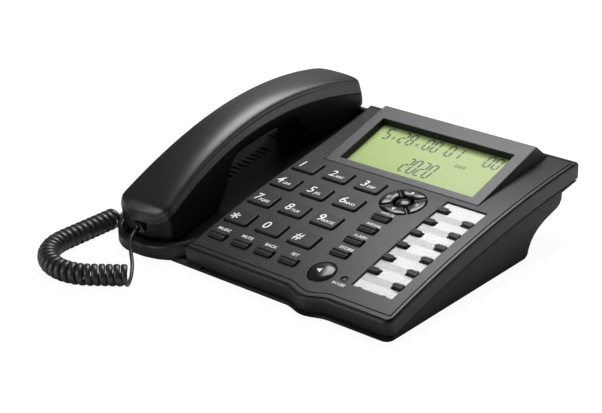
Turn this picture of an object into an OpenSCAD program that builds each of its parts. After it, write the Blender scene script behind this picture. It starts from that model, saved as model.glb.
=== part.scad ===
// Corded desk telephone: wedge casing with a curved key panel on the right,
// handset cradle on the left, raised display and a coiled handset cord.
// X runs to the right, Y to the back, Z up, in millimetres.

/* [Base] */
// Overall width of the casing
base_w = 221; // [205:1:240]
// Overall depth of the casing
base_d = 206.4; // [196:0.2:220]
// Wall thickness of the casing
wall = 2.4; // [1.8:0.1:3]
// Depth of the top cover's skirt below the panel
skirt = 10.5; // [9:0.5:12]
// How far the lower casing stands back from the top cover
setback = 1.2; // [0.6:0.2:2]
// Height of the lower casing above the table
foot_gap = 1.2; // [0.8:0.1:2]
// Diameter of a rubber foot
foot_d = 14; // [10:1:18]
// How far a rubber foot is let into the lower casing
foot_seat = 0.8; // [0.4:0.1:1.2]
// How far the cradle's round nose stands ahead of the key block
nose_ahead = 5.7; // [4:0.1:8]
// How far the front edge swells out below the hands-free key
bulge = 4; // [2:0.2:6]

/* [Panel] */
// Radius of the curved key panel
panel_radius = 880; // [800:10:1000]
// Height at which the panel would be level
crest_z = 49; // [46:0.5:52]
// How far behind the middle the panel would be level
crest_y = 147; // [140:1:154]

/* [Keys] */
// Width of a dial key
dial_w = 18.2; // [15:0.1:19]
// Depth of a dial key
dial_d = 13.5; // [11:0.1:15]
// Height of a dial key above the panel
dial_rise = 1.4; // [0.8:0.1:3]
// Width of a function key
bar_w = 12.4; // [9:0.1:13]
// Depth of a function key
bar_d = 6.2; // [5:0.1:6.6]
// Width of a memory key
memory_w = 7.4; // [6.4:0.1:8.4]
// Depth of a memory key
memory_d = 4.6; // [4:0.1:5.6]
// Height of a memory key above the panel
memory_rise = 0.8; // [0.4:0.1:1.6]
// Height of a function key above the panel
bar_rise = 2.1; // [1.4:0.1:3]
// Diameter of the four-way key ring
nav_d = 29.2; // [26:0.2:30]
// Diameter of the key in the middle of the ring
nav_mid_d = 9.8; // [8:0.2:11]
// Gap between the keys of the ring
nav_gap = 1.8; // [1:0.1:2.4]
// Diameter of the hands-free key
speaker_d = 17.4; // [15:0.1:19]
// Clearance between a key and its hole
key_gap = 0.5; // [0.35:0.05:0.7]
// Key travel
key_travel = 1.2; // [0.8:0.1:1.4]
// Diameter of the indicator lamp
lamp_d = 3.4; // [2.8:0.1:4]

/* [Display] */
// Width of the display bezel
bezel_w = 119.5; // [110:0.5:122]
// Height of the bezel's back edge above the table
bezel_top = 58.2; // [54:0.2:62]
// How deep the bezel's foot is let into the panel
bezel_seat = 1; // [0.6:0.1:1.4]
// Width of the display window
window_w = 102.6; // [90:0.1:104]
// Depth of the display window along the slope
window_d = 48.5; // [44:0.1:50]
// How far the display lies below the bezel's face
window_depth = 5.2; // [4:0.1:6]
// Thickness of the display panel
lcd_t = 2.8; // [2:0.1:3.4]

/* [Memory card] */
// Width of the memory card
card_w = 28.5; // [27:0.1:30]
// Length of the memory card
card_l = 96.5; // [92:0.5:98]
// Thickness of the memory card
card_t = 0.3; // [0.2:0.05:0.4]
// Thickness of the card's clear cover
cover_t = 0.4; // [0.3:0.05:0.6]
// How far the clear cover lies below the panel
card_sink = 0.9; // [0.1:0.1:1]

/* [Cradle] */
// How far the cradle's rim lies below the panel
rim_drop = 3; // [2:0.5:5]
// Tilt of the cradle floor
cradle_tilt = 9.7; // [8.7:0.1:10.7]
// Height of the cradle floor above the table at mid depth
cradle_floor = 24.35; // [23:0.05:25.5]
// Wall and floor thickness of the cradle
tub_wall = 1.8; // [1.4:0.1:2.2]
// Width of the cradle's rim
rim_w = 7; // [6:0.5:8]
// Travel of the hook plunger
hook_travel = 4; // [3:0.5:4]

/* [Handset] */
// Half width of the handset's crown at mid length
crown_w = 16.2; // [14:0.1:18]
// How much wider each side is at the ends
crown_flare = 4.3; // [2:0.1:5]
// Height of the crown above its edge line
crown_h = 6.4; // [4:0.1:8]
// Height of the edge line above the cradle floor at mid length
crown_rise = 40.9; // [38:0.1:44]
// Radius of the handset's arch
arch_radius = 263; // [240:1:290]
// Thickness of the grip below its rim
grip_t = 11; // [9:0.5:13]
// Wall thickness of the handset
handset_wall = 2; // [1.6:0.1:2.4]
// Clearance between handset and cradle floor
rest_gap = 0.35; // [0.3:0.05:0.6]
// Diameter of a capsule in the handset
capsule_d = 30; // [24:1:32]

/* [Cord] */
// Diameter of the cord
cord_d = 3; // [2.6:0.1:3]
// Radius of the coil to the middle of the cord
coil_r = 5.6; // [5:0.1:6]
// Number of curls
curls = 30; // [24:1:30]

/* [Hidden] */
$fa = 4;
$fs = 0.4;

left_x = -base_w / 2;
right_x = base_w / 2;
nose_y = -base_d / 2;
front_y = nose_y + nose_ahead;
back_y = base_d / 2 - 0.6;
axis_z = crest_z - panel_radius;
slope_mid = asin((crest_y + 1) / panel_radius);
corner_r = 6;
edge_x = left_x + 33.25 + 33.25 * base_w / 221;
edge_bend = 9.5;
edge_wall = 1.8;

// Shares by which the layout spreads with the panel's width and depth
wide = (right_x - edge_x) / 154.5;
deep = base_d / 206.4;

dial_x = edge_x + 12.7 * wide;
dial_s = 6.75 * deep;
dial_pitch_x = 25.2 * wide;
dial_pitch_s = 22.05 * deep;
card_x = edge_x + 128.95 * wide;
panel_free = card_x - card_w / 2 - dial_x - 2 * dial_pitch_x - dial_w / 2;
panel_mid = card_x - card_w / 2 - panel_free / 2;
bulge_x = panel_mid + 1.05;
bulge_half = 16;
toe_in = 0.4;
toe_rake = 10;
function_x = panel_mid - 2.45;
function_s = -19.5 * deep;
function_pitch = 13.55 * deep;
lower_x = edge_x + 11.85 * wide;
lower_s = -80.1 * deep;
lower_pitch = 18.6 * wide;
nav_x = panel_mid - 0.275 * (panel_free - 35.2);
nav_s = 2.2 * deep;
nav_rise = 0.9;
speaker_x = panel_mid - 1.45;
speaker_s = -79 * deep;
speaker_rise = 1.6;
speaker_dome = 42;
lamp_x = speaker_x + 15.8;
lamp_s = -78.4 * deep;
memory_x = card_x - card_w / 2 + memory_w / 2;
memory_step_x = card_w - memory_w + 0.2;
memory_s = 6.7 * deep;
memory_pitch = 14 * deep;
memory_stagger = -6.3 * deep;
key_seat = wall + 0.6;
flange = key_gap + 0.6;
flange_t = 1;
stem_t = 0.6;

bezel_x = (edge_x + right_x) / 2 - 3;
bezel_front = 19.3 * deep;
bezel_back = 84.2 * deep;
bezel_foot = 98.8 * deep;
bezel_z = panel_z(bezel_front);
bezel_tilt = atan2(bezel_top - bezel_z, bezel_back - bezel_front);
window_front = 6.2;
surround = 3.5;
surround_gap = 0.3;
lcd_lap = 2.5;

card_s = bezel_front - 3.2 - card_l / 2;
card_depth = card_sink + cover_t + card_t;
tab_w = 4;
tab_d = 1.6;

board_s = -37 * deep;
board_l = 104 * deep;
board_left = edge_x + edge_wall + 0.7;
board_right = right_x - wall - 4;
board_t = 1.6;
membrane_t = 1.4;
membrane_drop = key_seat + flange_t + stem_t + key_travel + 0.2
    + pow(board_l / 2, 2) / (2 * panel_radius);
board_drop = membrane_drop + membrane_t;
post_d = 6;
posts = [for (x = [edge_x + 14, right_x - 15.5], y = [-75, 4]) [x, y * deep]];

screw_d = 2.9;
head_d = 5.6;
head_t = 1.8;
head_seat = 1.4;
screw_l = 9.4;
short_screw_l = 8;
boss_d = 8;
boss_z = 7;
front_screws = [[left_x + 25.5, -50 * deep], [panel_mid + 13.2, -45 * deep]];
back_screws = [for (x = [edge_x + 6, right_x - 35.5]) [x, back_y - 10.6]];
feet = [for (i = [-1, 1], y = [-72, 34]) [i * (right_x - 22.5), y * deep]];

rear_foot_y = 47.5 * deep;
slope_curve = [for (p = [[47.5, 2.9], [48.6, 6.6], [51, 10.8], [54, 14], [57.9, 16.6], [62.5, 18.8],
    [67.6, 20.5], [74.5, 22.2], [80, 23.6], [82.8, 25.2], [84.4, 27.6], [84.8, 30], [84.8, 32.3]])
    [p[0] * deep, p[1]]];
lip_z = 34.8;

tub_left = left_x + rim_w;
tub_front = nose_y + setback + wall + tub_wall + 0.1;
tub_back = back_y - 5.1;
tub_corner = 12;
nose_r = 34;
nose_corner_r = 26;
handset_x = left_x + 30.5;
handset_l = base_d - 2.4;
grille_x = handset_x - 7;
grille_y = -12 * deep;
grille_pitch = 4.8 * deep;
hook_y = 60 * deep;
hook_x = handset_x;
hook_w = 10;
hook_d = 6;

socket_w = 8;
socket_h = 7;
socket_l = 13;
port_w = 6.2;
port_h = 5.2;
port_l = 9;
plug_gap = 0.2;
plug_out = 4;
socket_y = -40 * deep;
line_socket_x = bezel_x - 0.25;
line_socket_z = 38;

handset_mid = 9 * deep;
floor_v = cradle_floor * cos(cradle_tilt);
cup_v = floor_v + rest_gap;
ledge_v = floor_v + 4.3;
edge_v = floor_v + crown_rise;
half_l = handset_l / 2;
flare_l = half_l * 0.98;
grip_half = half_l * 0.255;
grip_ease = half_l * 0.255;
end_r = 9;
top_r = 6;
top_fall = 3.4;
crown_fall = 2.6;
rim_out = 1.6;
band_h = 3.4;
band_rise = 4.6;
band_from = half_l * 0.196;
end_dip = 0.6;
ear_lift = 9;
mouth_lift = 5;
lift_gap = 0.4;
top_stop = 3;
low_stop = 5;
shell_gap = 0.1;
shell_lap = 3;
under_corner = 2.5;
under_rise = 4;
capsule_t = 8;
capsule_at = half_l * 0.6765;
jack_v = 34;
jack_w = 10;
jack_l = 12;
jack_h = 12;
speaker_y = 11 * deep;
speaker_x_base = handset_x - 4;
loudspeaker_d = 40;
loudspeaker_t = 12;

tail_a = [for (p = [[2.5, -6.3, 14], [7, -10.8, 9.5], [13.5, -16.3, 5], [20.5, -24.3, 2]])
    [handset_x + p[0], nose_y + p[1], p[2]]];
turn_at = [left_x + 20.5, nose_y - 22.3];
turn_r = 30;
turn_from = -53;
lead_l = 23;
run_l = 43.5;
tail_b = [[left_x - 14, nose_y + 22.2, 1.7], [left_x - 17.5, nose_y + 31.2, 2.2],
    [left_x - 16.5, socket_y - 16, 4.4], [left_x - 12.5, socket_y - 4, 6.6]];

// Height of the panel at a depth, or of a face that lies under it
function panel_z(y, drop = 0) = axis_z + sqrt(pow(panel_radius - drop, 2) - pow(crest_y - y, 2));

function slope_at(y) = asin((crest_y - y) / panel_radius);

function edge_at(y) = edge_x - (y > 0 ? edge_bend * pow(y / 98, 2) : 0);

function bump(x) = abs(x - bulge_x) < bulge_half ?
    bulge * 0.5 * (1 + cos(180 * (x - bulge_x) / bulge_half)) : 0;

function cradle_z(y) = cradle_floor + y * tan(cradle_tilt);

// A point of the handset's own frame, which lies along the cradle floor
function handset_point(p) = [p[0],
    p[1] * cos(cradle_tilt) - p[2] * sin(cradle_tilt),
    p[1] * sin(cradle_tilt) + p[2] * cos(cradle_tilt)];

module on_panel(x, s) {
    translate([0, crest_y, axis_z])
        rotate([slope_mid - s * 180 / (PI * panel_radius), 0, 0])
            translate([x, 0, panel_radius])
                children();
}

module on_floor() {
    rotate([cradle_tilt, 0, 0])
        children();
}

// Everything that lies a set drop under the panel's curve
module under_panel(drop) {
    translate([-base_w, crest_y, axis_z])
        rotate([0, 90, 0])
            cylinder(r = panel_radius - drop, h = 2 * base_w, $fn = 1440);
}

module rounded_slab(w, d, r, h) {
    linear_extrude(h) {
        square([w - 2 * r, d], center = true);
        square([w, d - 2 * r], center = true);
        for (i = [-1, 1], j = [-1, 1])
            translate([i * (w / 2 - r), j * (d / 2 - r)])
                circle(r);
    }
}

// Front edge with its swell, front right corner and right side
function front_outline(inset) = concat(
    [[-base_w, inset], [bulge_x - bulge_half, inset]],
    [for (i = [1 : 19]) let(x = bulge_x + bulge_half * (i / 10 - 1)) [x, inset - bump(x)]],
    [[bulge_x + bulge_half, inset]],
    [for (a = [0 : 15 : 90]) [
        right_x - corner_r + (corner_r - inset) * sin(a),
        corner_r - (corner_r - inset) * cos(a)]],
    [[right_x - inset, 1.4 * base_d], [-base_w, 1.4 * base_d]]);

module front_prism(inset) {
    translate([0, front_y, panel_z(front_y)])
        rotate([slope_at(front_y), 0, 0])
            translate([0, 0, -100])
                linear_extrude(160)
                    polygon(front_outline(inset));
}

module before_back(inset) {
    translate([0, back_y, panel_z(back_y)])
        rotate([slope_at(back_y), 0, 0])
            translate([-base_w, -2 * base_d - inset, -100])
                cube([2 * base_w, 2 * base_d, 200]);
}

function edge_line(inset, y0, y1) =
    [for (i = [0 : 12]) let(y = y0 + (y1 - y0) * i / 12) [edge_at(y) + inset, y]];

module right_of_edge(inset) {
    translate([0, 0, -20])
        linear_extrude(120)
            polygon(concat(edge_line(inset, -base_d * 0.6, base_d * 0.6),
                [[base_w, base_d * 0.6], [base_w, -base_d * 0.6]]));
}

module key_block(inset, side, drop) {
    intersection() {
        under_panel(drop);
        front_prism(inset);
        before_back(inset);
        right_of_edge(side);
    }
}

module cradle_plan(inset) {
    translate([left_x + nose_corner_r, nose_y + nose_corner_r])
        circle(nose_corner_r - inset);
    translate([left_x + nose_r, nose_y + nose_r])
        circle(nose_r - inset);
    polygon(concat([[left_x + inset, back_y + 5], [left_x + inset, nose_y + nose_corner_r]],
        edge_line(1, nose_y + nose_r, back_y + 5)));
}

module cradle_block(inset, drop) {
    intersection() {
        under_panel(drop);
        translate([0, 0, -20])
            linear_extrude(120)
                cradle_plan(inset);
        before_back(inset);
    }
}

module tub_plan(grow) {
    translate([tub_left + tub_corner, tub_front + tub_corner])
        circle(tub_corner + grow);
    translate([tub_left + tub_corner, tub_front - grow])
        square([left_x + nose_r - tub_left - tub_corner, 30]);
    intersection() {
        translate([left_x + nose_r, nose_y + nose_r])
            circle(nose_y + nose_r - tub_front + grow);
        translate([left_x + nose_r, nose_y])
            square(2 * nose_r);
    }
    polygon(concat([[tub_left - grow, tub_back + grow], [tub_left - grow, tub_front + tub_corner]],
        edge_line(grow, nose_y + nose_r, tub_back + grow)));
}

// The part of a plan that lies above the cradle floor, or below it by a drop
module tub_space(grow, drop) {
    intersection() {
        linear_extrude(120)
            tub_plan(grow);
        on_floor()
            translate([-base_w, -base_d, floor_v - drop])
                cube([2 * base_w, 2 * base_d, 120]);
    }
}

module bezel_frame() {
    translate([bezel_x, bezel_front, bezel_z])
        rotate([bezel_tilt, 0, 0])
            children();
}

module window_box(grow, z0, z1) {
    translate([-window_w / 2 - grow, window_front - grow, z0])
        cube([window_w + 2 * grow, window_d + 2 * grow, z1 - z0]);
}

module bezel_wedge(inset) {
    translate([bezel_x - bezel_w / 2 + inset, 0, 0])
        rotate([90, 0, 90])
            linear_extrude(bezel_w - 2 * inset)
                polygon([[bezel_front + inset, bezel_z - 8],
                    [bezel_front + inset, bezel_z],
                    [bezel_back, bezel_top],
                    [bezel_foot - inset, panel_z(bezel_foot)],
                    [bezel_foot - inset, panel_z(bezel_foot) - 8]]);
}

module card_slab(grow, top, thick) {
    difference() {
        intersection() {
            under_panel(top);
            on_panel(card_x, card_s)
                translate([0, 0, -10])
                    linear_extrude(20)
                        square([card_w + 2 * grow, card_l + 2 * grow], center = true);
        }
        under_panel(top + thick);
    }
}

module memory_holes() {
    for (j = [0 : 5], i = [0, 1])
        memory_spot(i, j)
            rounded_hole(memory_w, memory_d, 0.8);
}

module rounded_hole(w, d, r) {
    translate([0, 0, -wall - 2])
        rounded_slab(w + 2 * key_gap, d + 2 * key_gap, r + key_gap, wall + 4);
}

module memory_spot(i, j) {
    on_panel(memory_x + memory_step_x * i, memory_s + memory_stagger * i - memory_pitch * j)
        children();
}

module dial_spot(i, j) {
    on_panel(dial_x + dial_pitch_x * i, dial_s - dial_pitch_s * j)
        children();
}

module key_holes() {
    for (i = [0 : 2], j = [0 : 3])
        dial_spot(i, j)
            rounded_hole(dial_w, dial_d, 1.6);
    for (j = [0 : 3])
        on_panel(function_x, function_s - function_pitch * j)
            rounded_hole(bar_w, bar_d, 0.8);
    for (i = [0 : 3])
        on_panel(lower_x + lower_pitch * i, lower_s)
            rounded_hole(bar_w, bar_d, 0.8);
    on_panel(nav_x, nav_s)
        translate([0, 0, -wall - 2])
            cylinder(d = nav_d + 2 * key_gap, h = wall + 4);
    on_panel(speaker_x, speaker_s)
        translate([0, 0, -wall - 2])
            cylinder(d = speaker_d + 2 * key_gap, h = wall + 4);
    on_panel(lamp_x, lamp_s)
        translate([0, 0, -wall - 2])
            cylinder(d = lamp_d + 1.6, h = wall + 4);
    memory_holes();
}

module grille_slots() {
    on_floor() {
        for (i = [0 : 9])
            translate([grille_x - 4.5, grille_y + grille_pitch * i, floor_v - 5])
                cube([9, 2, 10]);
        for (i = [0 : 2])
            translate([grille_x - 11, grille_y + grille_pitch * (12.4 + i), floor_v - 5])
                cube([7, 2, 10]);
    }
}

module top_cover() {
    color("#2b2b2d")
    difference() {
        union() {
            difference() {
                key_block(0, 0, 0);
                key_block(wall, edge_wall, wall);
                under_panel(skirt);
            }
            difference() {
                cradle_block(0, rim_drop);
                cradle_block(wall, rim_drop + wall);
                under_panel(skirt);
                key_block(wall, edge_wall, wall);
            }
            intersection() {
                tub_space(tub_wall, tub_wall);
                under_panel(rim_drop);
            }
            for (p = front_screws)
                translate([p[0], p[1], boss_z])
                    cylinder(d = boss_d, h = (p[0] < edge_x ? cradle_z(p[1]) - 0.8
                        : panel_z(p[1], 1)) - boss_z);
            for (p = back_screws)
                translate([p[0], p[1], panel_z(p[1], skirt) + 0.3])
                    cylinder(d = boss_d, h = skirt - 1.3);
            for (i = [-1, 1])
                translate([hook_x + i * 11 - 2, hook_y - 4, hook_switch_top()])
                    cube([4, 8, cradle_z(hook_y) - 1 - hook_switch_top()]);
        }
        tub_space(0, 0);
        key_holes();
        grille_slots();
        card_slab(0.3, -3, 3 + card_depth);
        bezel_pocket();
        bezel_frame()
            window_box(surround + surround_gap, -30, 20);
        translate([hook_x, hook_y, 0])
            rounded_slab(hook_w + 2 * key_gap, hook_d + 2 * key_gap, 1.5, 80);
        for (p = front_screws)
            translate([p[0], p[1], boss_z - 1])
                cylinder(d = screw_d, h = 7);
        for (p = back_screws)
            translate([p[0], p[1], panel_z(p[1], skirt) - 1])
                cylinder(d = screw_d, h = 7.5);
        translate([line_socket_x - socket_w / 2 - plug_gap, back_y - socket_l - plug_gap,
            line_socket_z - plug_gap])
            cube([socket_w + 2 * plug_gap, socket_l + 10, socket_h + 2 * plug_gap]);
    }
}

module bezel_pocket() {
    difference() {
        bezel_wedge(0);
        under_panel(bezel_seat);
    }
}

// Side outline of the lower casing, set in by a wall inside
function lower_profile(inset) = inset == 0 ?
    concat([[-base_d, foot_gap], [rear_foot_y - 3, foot_gap]], slope_curve,
        [[back_y, lip_z], [back_y, 60], [-base_d, 60]]) :
    concat([[-base_d, foot_gap + inset], [rear_foot_y - inset, foot_gap + inset]],
        [for (p = slope_curve) if (p[1] > 6) [p[0] - inset * 0.7, p[1] + inset * 0.75]],
        [[slope_curve[len(slope_curve) - 1][0] - inset * 0.7, 60], [-base_d, 60]]);

module lower_slice(inset) {
    translate([-base_w, 0, 0])
        rotate([90, 0, 90])
            linear_extrude(2 * base_w)
                polygon(lower_profile(inset));
}

module lower_plan(inset) {
    translate([0, front_y + toe_in, foot_gap])
        rotate([toe_rake, 0, 0])
            translate([0, 0, -300])
                linear_extrude(360)
                    polygon([for (p = front_outline(inset)) [max(p[0], edge_x - edge_bend - 3), p[1]]]);
    translate([0, 0, -6])
        linear_extrude(92)
            cradle_plan(inset);
}

module lower_block() {
    intersection() {
        lower_plan(setback);
        lower_slice(0);
        under_panel(skirt);
        before_back(setback / 2);
    }
}

module lower_hollow() {
    intersection() {
        lower_plan(setback + wall);
        lower_slice(wall);
    }
}

module under_board() {
    on_panel(0, board_s)
        translate([-base_w, -base_d, -board_drop - board_t - 80])
            cube([2 * base_w, 2 * base_d, 80]);
}

module bottom_cover() {
    color("#242426")
    difference() {
        union() {
            difference() {
                lower_block();
                lower_hollow();
            }
            for (p = front_screws)
                translate([p[0], p[1], foot_gap + wall / 2])
                    cylinder(d = boss_d + 1, h = boss_z - foot_gap - wall / 2);
            intersection() {
                for (p = posts)
                    translate([p[0], p[1], foot_gap + wall / 2])
                        cylinder(d = post_d, h = 60);
                under_board();
            }
        }
        for (p = front_screws)
            translate([p[0], p[1], 0]) {
                cylinder(d = head_d + 0.8, h = foot_gap + head_seat + head_t);
                cylinder(d = screw_d + 0.5, h = 20);
            }
        for (p = back_screws)
            translate([p[0], p[1], 0]) {
                cylinder(d = head_d + 0.8, h = lip_z);
                cylinder(d = screw_d + 0.5, h = 60);
            }
        for (p = feet)
            translate([p[0], p[1], -1])
                cylinder(d = foot_d + 0.4, h = 1 + foot_gap + foot_seat);
        translate([left_x - 5, socket_y - socket_w / 2 - plug_gap, foot_gap + wall])
            cube([15, socket_w + 2 * plug_gap, socket_h + plug_gap]);
    }
}

module display_bezel() {
    color("#4a4a4c")
    difference() {
        union() {
            difference() {
                bezel_wedge(0.15);
                under_panel(bezel_seat);
            }
            bezel_frame()
                window_box(surround, -window_depth, -1);
        }
        bezel_frame() {
            window_box(0, -40, 30);
            window_box(lcd_lap + surround_gap, -40, -window_depth);
        }
    }
}

module lcd_panel() {
    color("#c4d98f")
    bezel_frame()
        window_box(lcd_lap, -window_depth - lcd_t, -window_depth);
}

module memory_card() {
    color("#f2f2f2")
    difference() {
        card_slab(-0.2, card_depth - card_t, card_t);
        memory_holes();
    }
}

module memory_card_cover() {
    color("#f4f6f8", 0.35)
    difference() {
        card_slab(0, card_sink, cover_t);
        memory_holes();
        for (i = [-1, 1], j = [-1, 1])
            on_panel(card_x + i * card_w * 0.3, card_s + j * card_l / 2)
                translate([0, 0, -5])
                    linear_extrude(10)
                        square([tab_w, tab_d], center = true);
    }
}

module indicator_led() {
    color("#b0332b")
    on_panel(lamp_x, board_s)
        translate([0, lamp_s - board_s, -board_drop])
            cylinder(d = lamp_d, h = board_drop - 0.3 - pow(lamp_s - board_s, 2) / (2 * panel_radius));
}

module keypad_membrane() {
    color("#3a3a3c")
    difference() {
        on_panel(0, board_s)
            translate([board_left, -board_l / 2, -board_drop])
                cube([board_right - board_left, board_l, membrane_t]);
        on_panel(lamp_x, board_s)
            translate([0, lamp_s - board_s, -board_drop - 1])
                cylinder(d = lamp_d + 1, h = 8);
        translate([front_screws[1][0], front_screws[1][1], 0])
            cylinder(d = boss_d + 1.4, h = 60);
    }
}

module main_board() {
    color("#2f5d3a")
    difference() {
        on_panel(0, board_s)
            translate([board_left, -board_l / 2, -board_drop - board_t])
                cube([board_right - board_left, board_l, board_t]);
        translate([front_screws[1][0], front_screws[1][1], 0])
            cylinder(d = boss_d + 1.4, h = 60);
    }
}

function hook_flange_top() = cradle_z(hook_y - hook_d / 2 - 1.5) - tub_wall / cos(cradle_tilt)
    - hook_travel - 0.4;

function hook_switch_top() = hook_flange_top() - 1.2 - 0.4;

module hook_switch() {
    color("#3f3f44")
    translate([hook_x - 13, hook_y - 4, hook_switch_top() - 3])
        cube([26, 8, 3]);
}

module hook_plunger() {
    color("#1f1f21")
    translate([hook_x, hook_y, hook_flange_top() - 1.2]) {
        rounded_slab(hook_w + 3, hook_d + 3, 1, 1.2);
        rounded_slab(hook_w, hook_d, 1,
            cradle_z(hook_y - hook_d / 2) - hook_flange_top() + 1.2);
    }
}

module loudspeaker() {
    color("#55555a")
    on_floor()
        translate([speaker_x_base, speaker_y + 4, floor_v - tub_wall - loudspeaker_t])
            cylinder(d = loudspeaker_d, h = loudspeaker_t);
}

// Socket housing with its port on the +Y side, seated at z = 0
module modular_socket() {
    difference() {
        translate([-socket_w / 2, -socket_l, 0])
            cube([socket_w, socket_l, socket_h]);
        translate([-port_w / 2, -port_l, (socket_h - port_h) / 2])
            cube([port_w, port_l + 1, port_h]);
    }
}

module base_socket_place() {
    translate([left_x + setback, socket_y, foot_gap + wall])
        rotate([0, 0, 90])
            children();
}

module base_sockets() {
    color("#1a1a1c") {
        base_socket_place()
            modular_socket();
        translate([line_socket_x, back_y, line_socket_z])
            modular_socket();
    }
}

// Clear plug of the cord, with its nose at the back of a port
module modular_plug() {
    translate([-port_w / 2 + plug_gap, -port_l, (socket_h - port_h) / 2 + plug_gap])
        cube([port_w - 2 * plug_gap, port_l + plug_out, port_h - 2 * plug_gap]);
}

module cord_plug_base() {
    color("#d9dde0", 0.5)
    base_socket_place()
        modular_plug();
}

module rubber_feet() {
    color("#1c1c1c")
    for (p = feet)
        translate([p[0], p[1], 0])
            cylinder(d = foot_d, h = foot_gap + foot_seat);
}

module case_screws() {
    color("#8d8f92") {
        for (p = front_screws)
            translate([p[0], p[1], foot_gap + head_seat]) {
                cylinder(d = head_d, h = head_t);
                cylinder(d = screw_d, h = screw_l);
            }
        for (p = back_screws)
            translate([p[0], p[1], lip_z - head_seat]) {
                cylinder(d = head_d, h = head_seat);
                cylinder(d = screw_d, h = short_screw_l);
            }
    }
}

// Handset outline along its length: t runs from the cord end to the ear end
function end_gap(t) = half_l - abs(t);

function end_round(t) = end_gap(t) >= end_r ? 1 :
    max(0.05, pow(1 - pow(1 - max(end_gap(t), 0) / end_r, 2.6), 1 / 2.6));

function crown_half(t) = (crown_w + crown_flare * pow(abs(t) / flare_l, 2.2)) * end_round(t);

function rim_half(t) = crown_half(t) + rim_out * end_round(t);

function top_drop(t) = end_gap(t) < top_r ? top_fall * pow(1 - end_gap(t) / top_r, 2) : 0;

function edge_height(t) = edge_v - pow(t, 2) / (2 * arch_radius) - top_drop(t);

function rim_height(t) = edge_height(t) - band_h
    - (t < -band_from ? 0 : band_rise * pow((t + band_from) / (flare_l + band_from), 1.2))
    - (end_gap(t) < top_r ? end_dip : 0);

function crown_top(t) = crown_h - crown_fall * pow(t / flare_l, 2);

function ease(a) = let(c = min(max(a, 0), 1)) c * c * (3 - 2 * c);

function under_height(t) = let(grip = rim_height(t) - grip_t, k = ease((abs(t) - grip_half) / grip_ease),
    lift = end_gap(t) < (t > 0 ? ear_lift : mouth_lift) ? ledge_v + lift_gap - cup_v : 0)
    max(cup_v, grip * (1 - k) + cup_v * k) + lift;

function top_ring(t, inset) = let(w = max(crown_half(t) - inset, 0.3), r = max(rim_half(t) - inset, 0.4),
    e = edge_height(t), b = max(crown_top(t) - inset, 0.5),
    m = rim_height(t) + (inset > 0 ? -shell_lap : shell_gap))
    concat([[-r, m], [-w, e]],
        [for (a = [160 : -20 : 20]) [w * sign(cos(a)) * pow(abs(cos(a)), 0.8), e + b * pow(sin(a), 0.8)]],
        [[w, e], [r, m]]);

function low_ring(t, inset) = let(r = max(rim_half(t) - inset, 0.4), m = rim_height(t),
    b = under_height(t) + inset, top = inset > 0 ? m + shell_lap : m - shell_gap,
    c = min(under_corner, r * 0.3))
    [[r, top], [r, b + c + under_rise], [r - c * 0.4, b + c], [r - c, b],
        [-r + c, b], [-r + c * 0.4, b + c], [-r, b + c + under_rise], [-r, top]];

function stations(stop) = let(near = [for (k = [0, 0.09, 0.22, 0.44, 0.72]) stop + k * end_r])
    concat([for (g = near) g - half_l],
        [for (t = [-84, -72, -60, -52, -46, -40, -34, -28, -20, -10,
            0, 10, 20, 28, 34, 40, 46, 52, 60, 72, 84]) t * half_l / 100],
        [for (i = [4 : -1 : 0]) half_l - near[i]]);

function ring_points(ring, t) =
    [for (p = ring) handset_point([handset_x + p[0], handset_mid + t, p[1]])];

// Closed skin over a row of rings with the same number of points
module skin(rings) {
    n = len(rings[0]);
    k = len(rings);
    polyhedron(
        points = [for (r = rings, p = r) p],
        faces = concat(
            [[for (i = [0 : n - 1]) i]],
            [for (j = [0 : k - 2], i = [0 : n - 1]) [j * n + i, (j + 1) * n + i, j * n + (i + 1) % n]],
            [for (j = [0 : k - 2], i = [0 : n - 1])
                [j * n + (i + 1) % n, (j + 1) * n + i, (j + 1) * n + (i + 1) % n]],
            [[for (i = [n - 1 : -1 : 0]) (k - 1) * n + i]]),
        convexity = 6);
}

module handset_top_shell() {
    color("#161617")
    difference() {
        skin([for (t = stations(0)) ring_points(top_ring(t, 0), t)]);
        skin([for (t = stations(top_stop)) ring_points(top_ring(t, handset_wall), t)]);
    }
}

module handset_bottom_shell() {
    color("#1b1b1d")
    difference() {
        skin([for (t = stations(0)) ring_points(low_ring(t, 0), t)]);
        skin([for (t = stations(low_stop)) ring_points(low_ring(t, handset_wall), t)]);
        on_floor()
            translate([handset_x - jack_w / 2 - plug_gap, handset_mid - half_l - low_stop,
                cup_v + handset_wall])
                cube([jack_w + 2 * plug_gap, low_stop + end_r, jack_h + plug_gap]);
    }
}

module handset_capsules() {
    color("#6d6d70")
    on_floor()
        for (i = [-1, 1])
            translate([handset_x, handset_mid + i * capsule_at, cup_v + handset_wall])
                cylinder(d = capsule_d, h = capsule_t);
}

// Place of the cord's port in the handset's end
module jack_place() {
    on_floor()
        translate([handset_x, handset_mid - half_l + 1.6, jack_v - socket_h / 2])
            rotate([0, 0, 180])
                children();
}

module handset_jack() {
    color("#1a1a1c")
    difference() {
        on_floor()
            translate([handset_x - jack_w / 2, handset_mid - half_l + 1.6, cup_v + handset_wall])
                cube([jack_w, jack_l, jack_h]);
        jack_place()
            translate([-port_w / 2, -port_l, (socket_h - port_h) / 2])
                cube([port_w, port_l + 1, port_h]);
    }
}

module cord_plug_handset() {
    color("#d9dde0", 0.5)
    jack_place()
        modular_plug();
}

// Route of the cord: straight out of each plug, curls between
plug_end = handset_point([handset_x, handset_mid - half_l + 1.6 - plug_out - 0.3, jack_v]);
plug_out_end = handset_point([handset_x, handset_mid - half_l + 1.6 - plug_out - 0.3 - cord_d, jack_v]);
base_end = [left_x + setback - plug_out, socket_y, foot_gap + wall + socket_h / 2];
coil_z = coil_r + cord_d / 2 + 0.1;
turn_l = turn_r * (180 + turn_from) * PI / 180;
coil_l = lead_l + turn_l + run_l;
rings_per_curl = 8;

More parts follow.
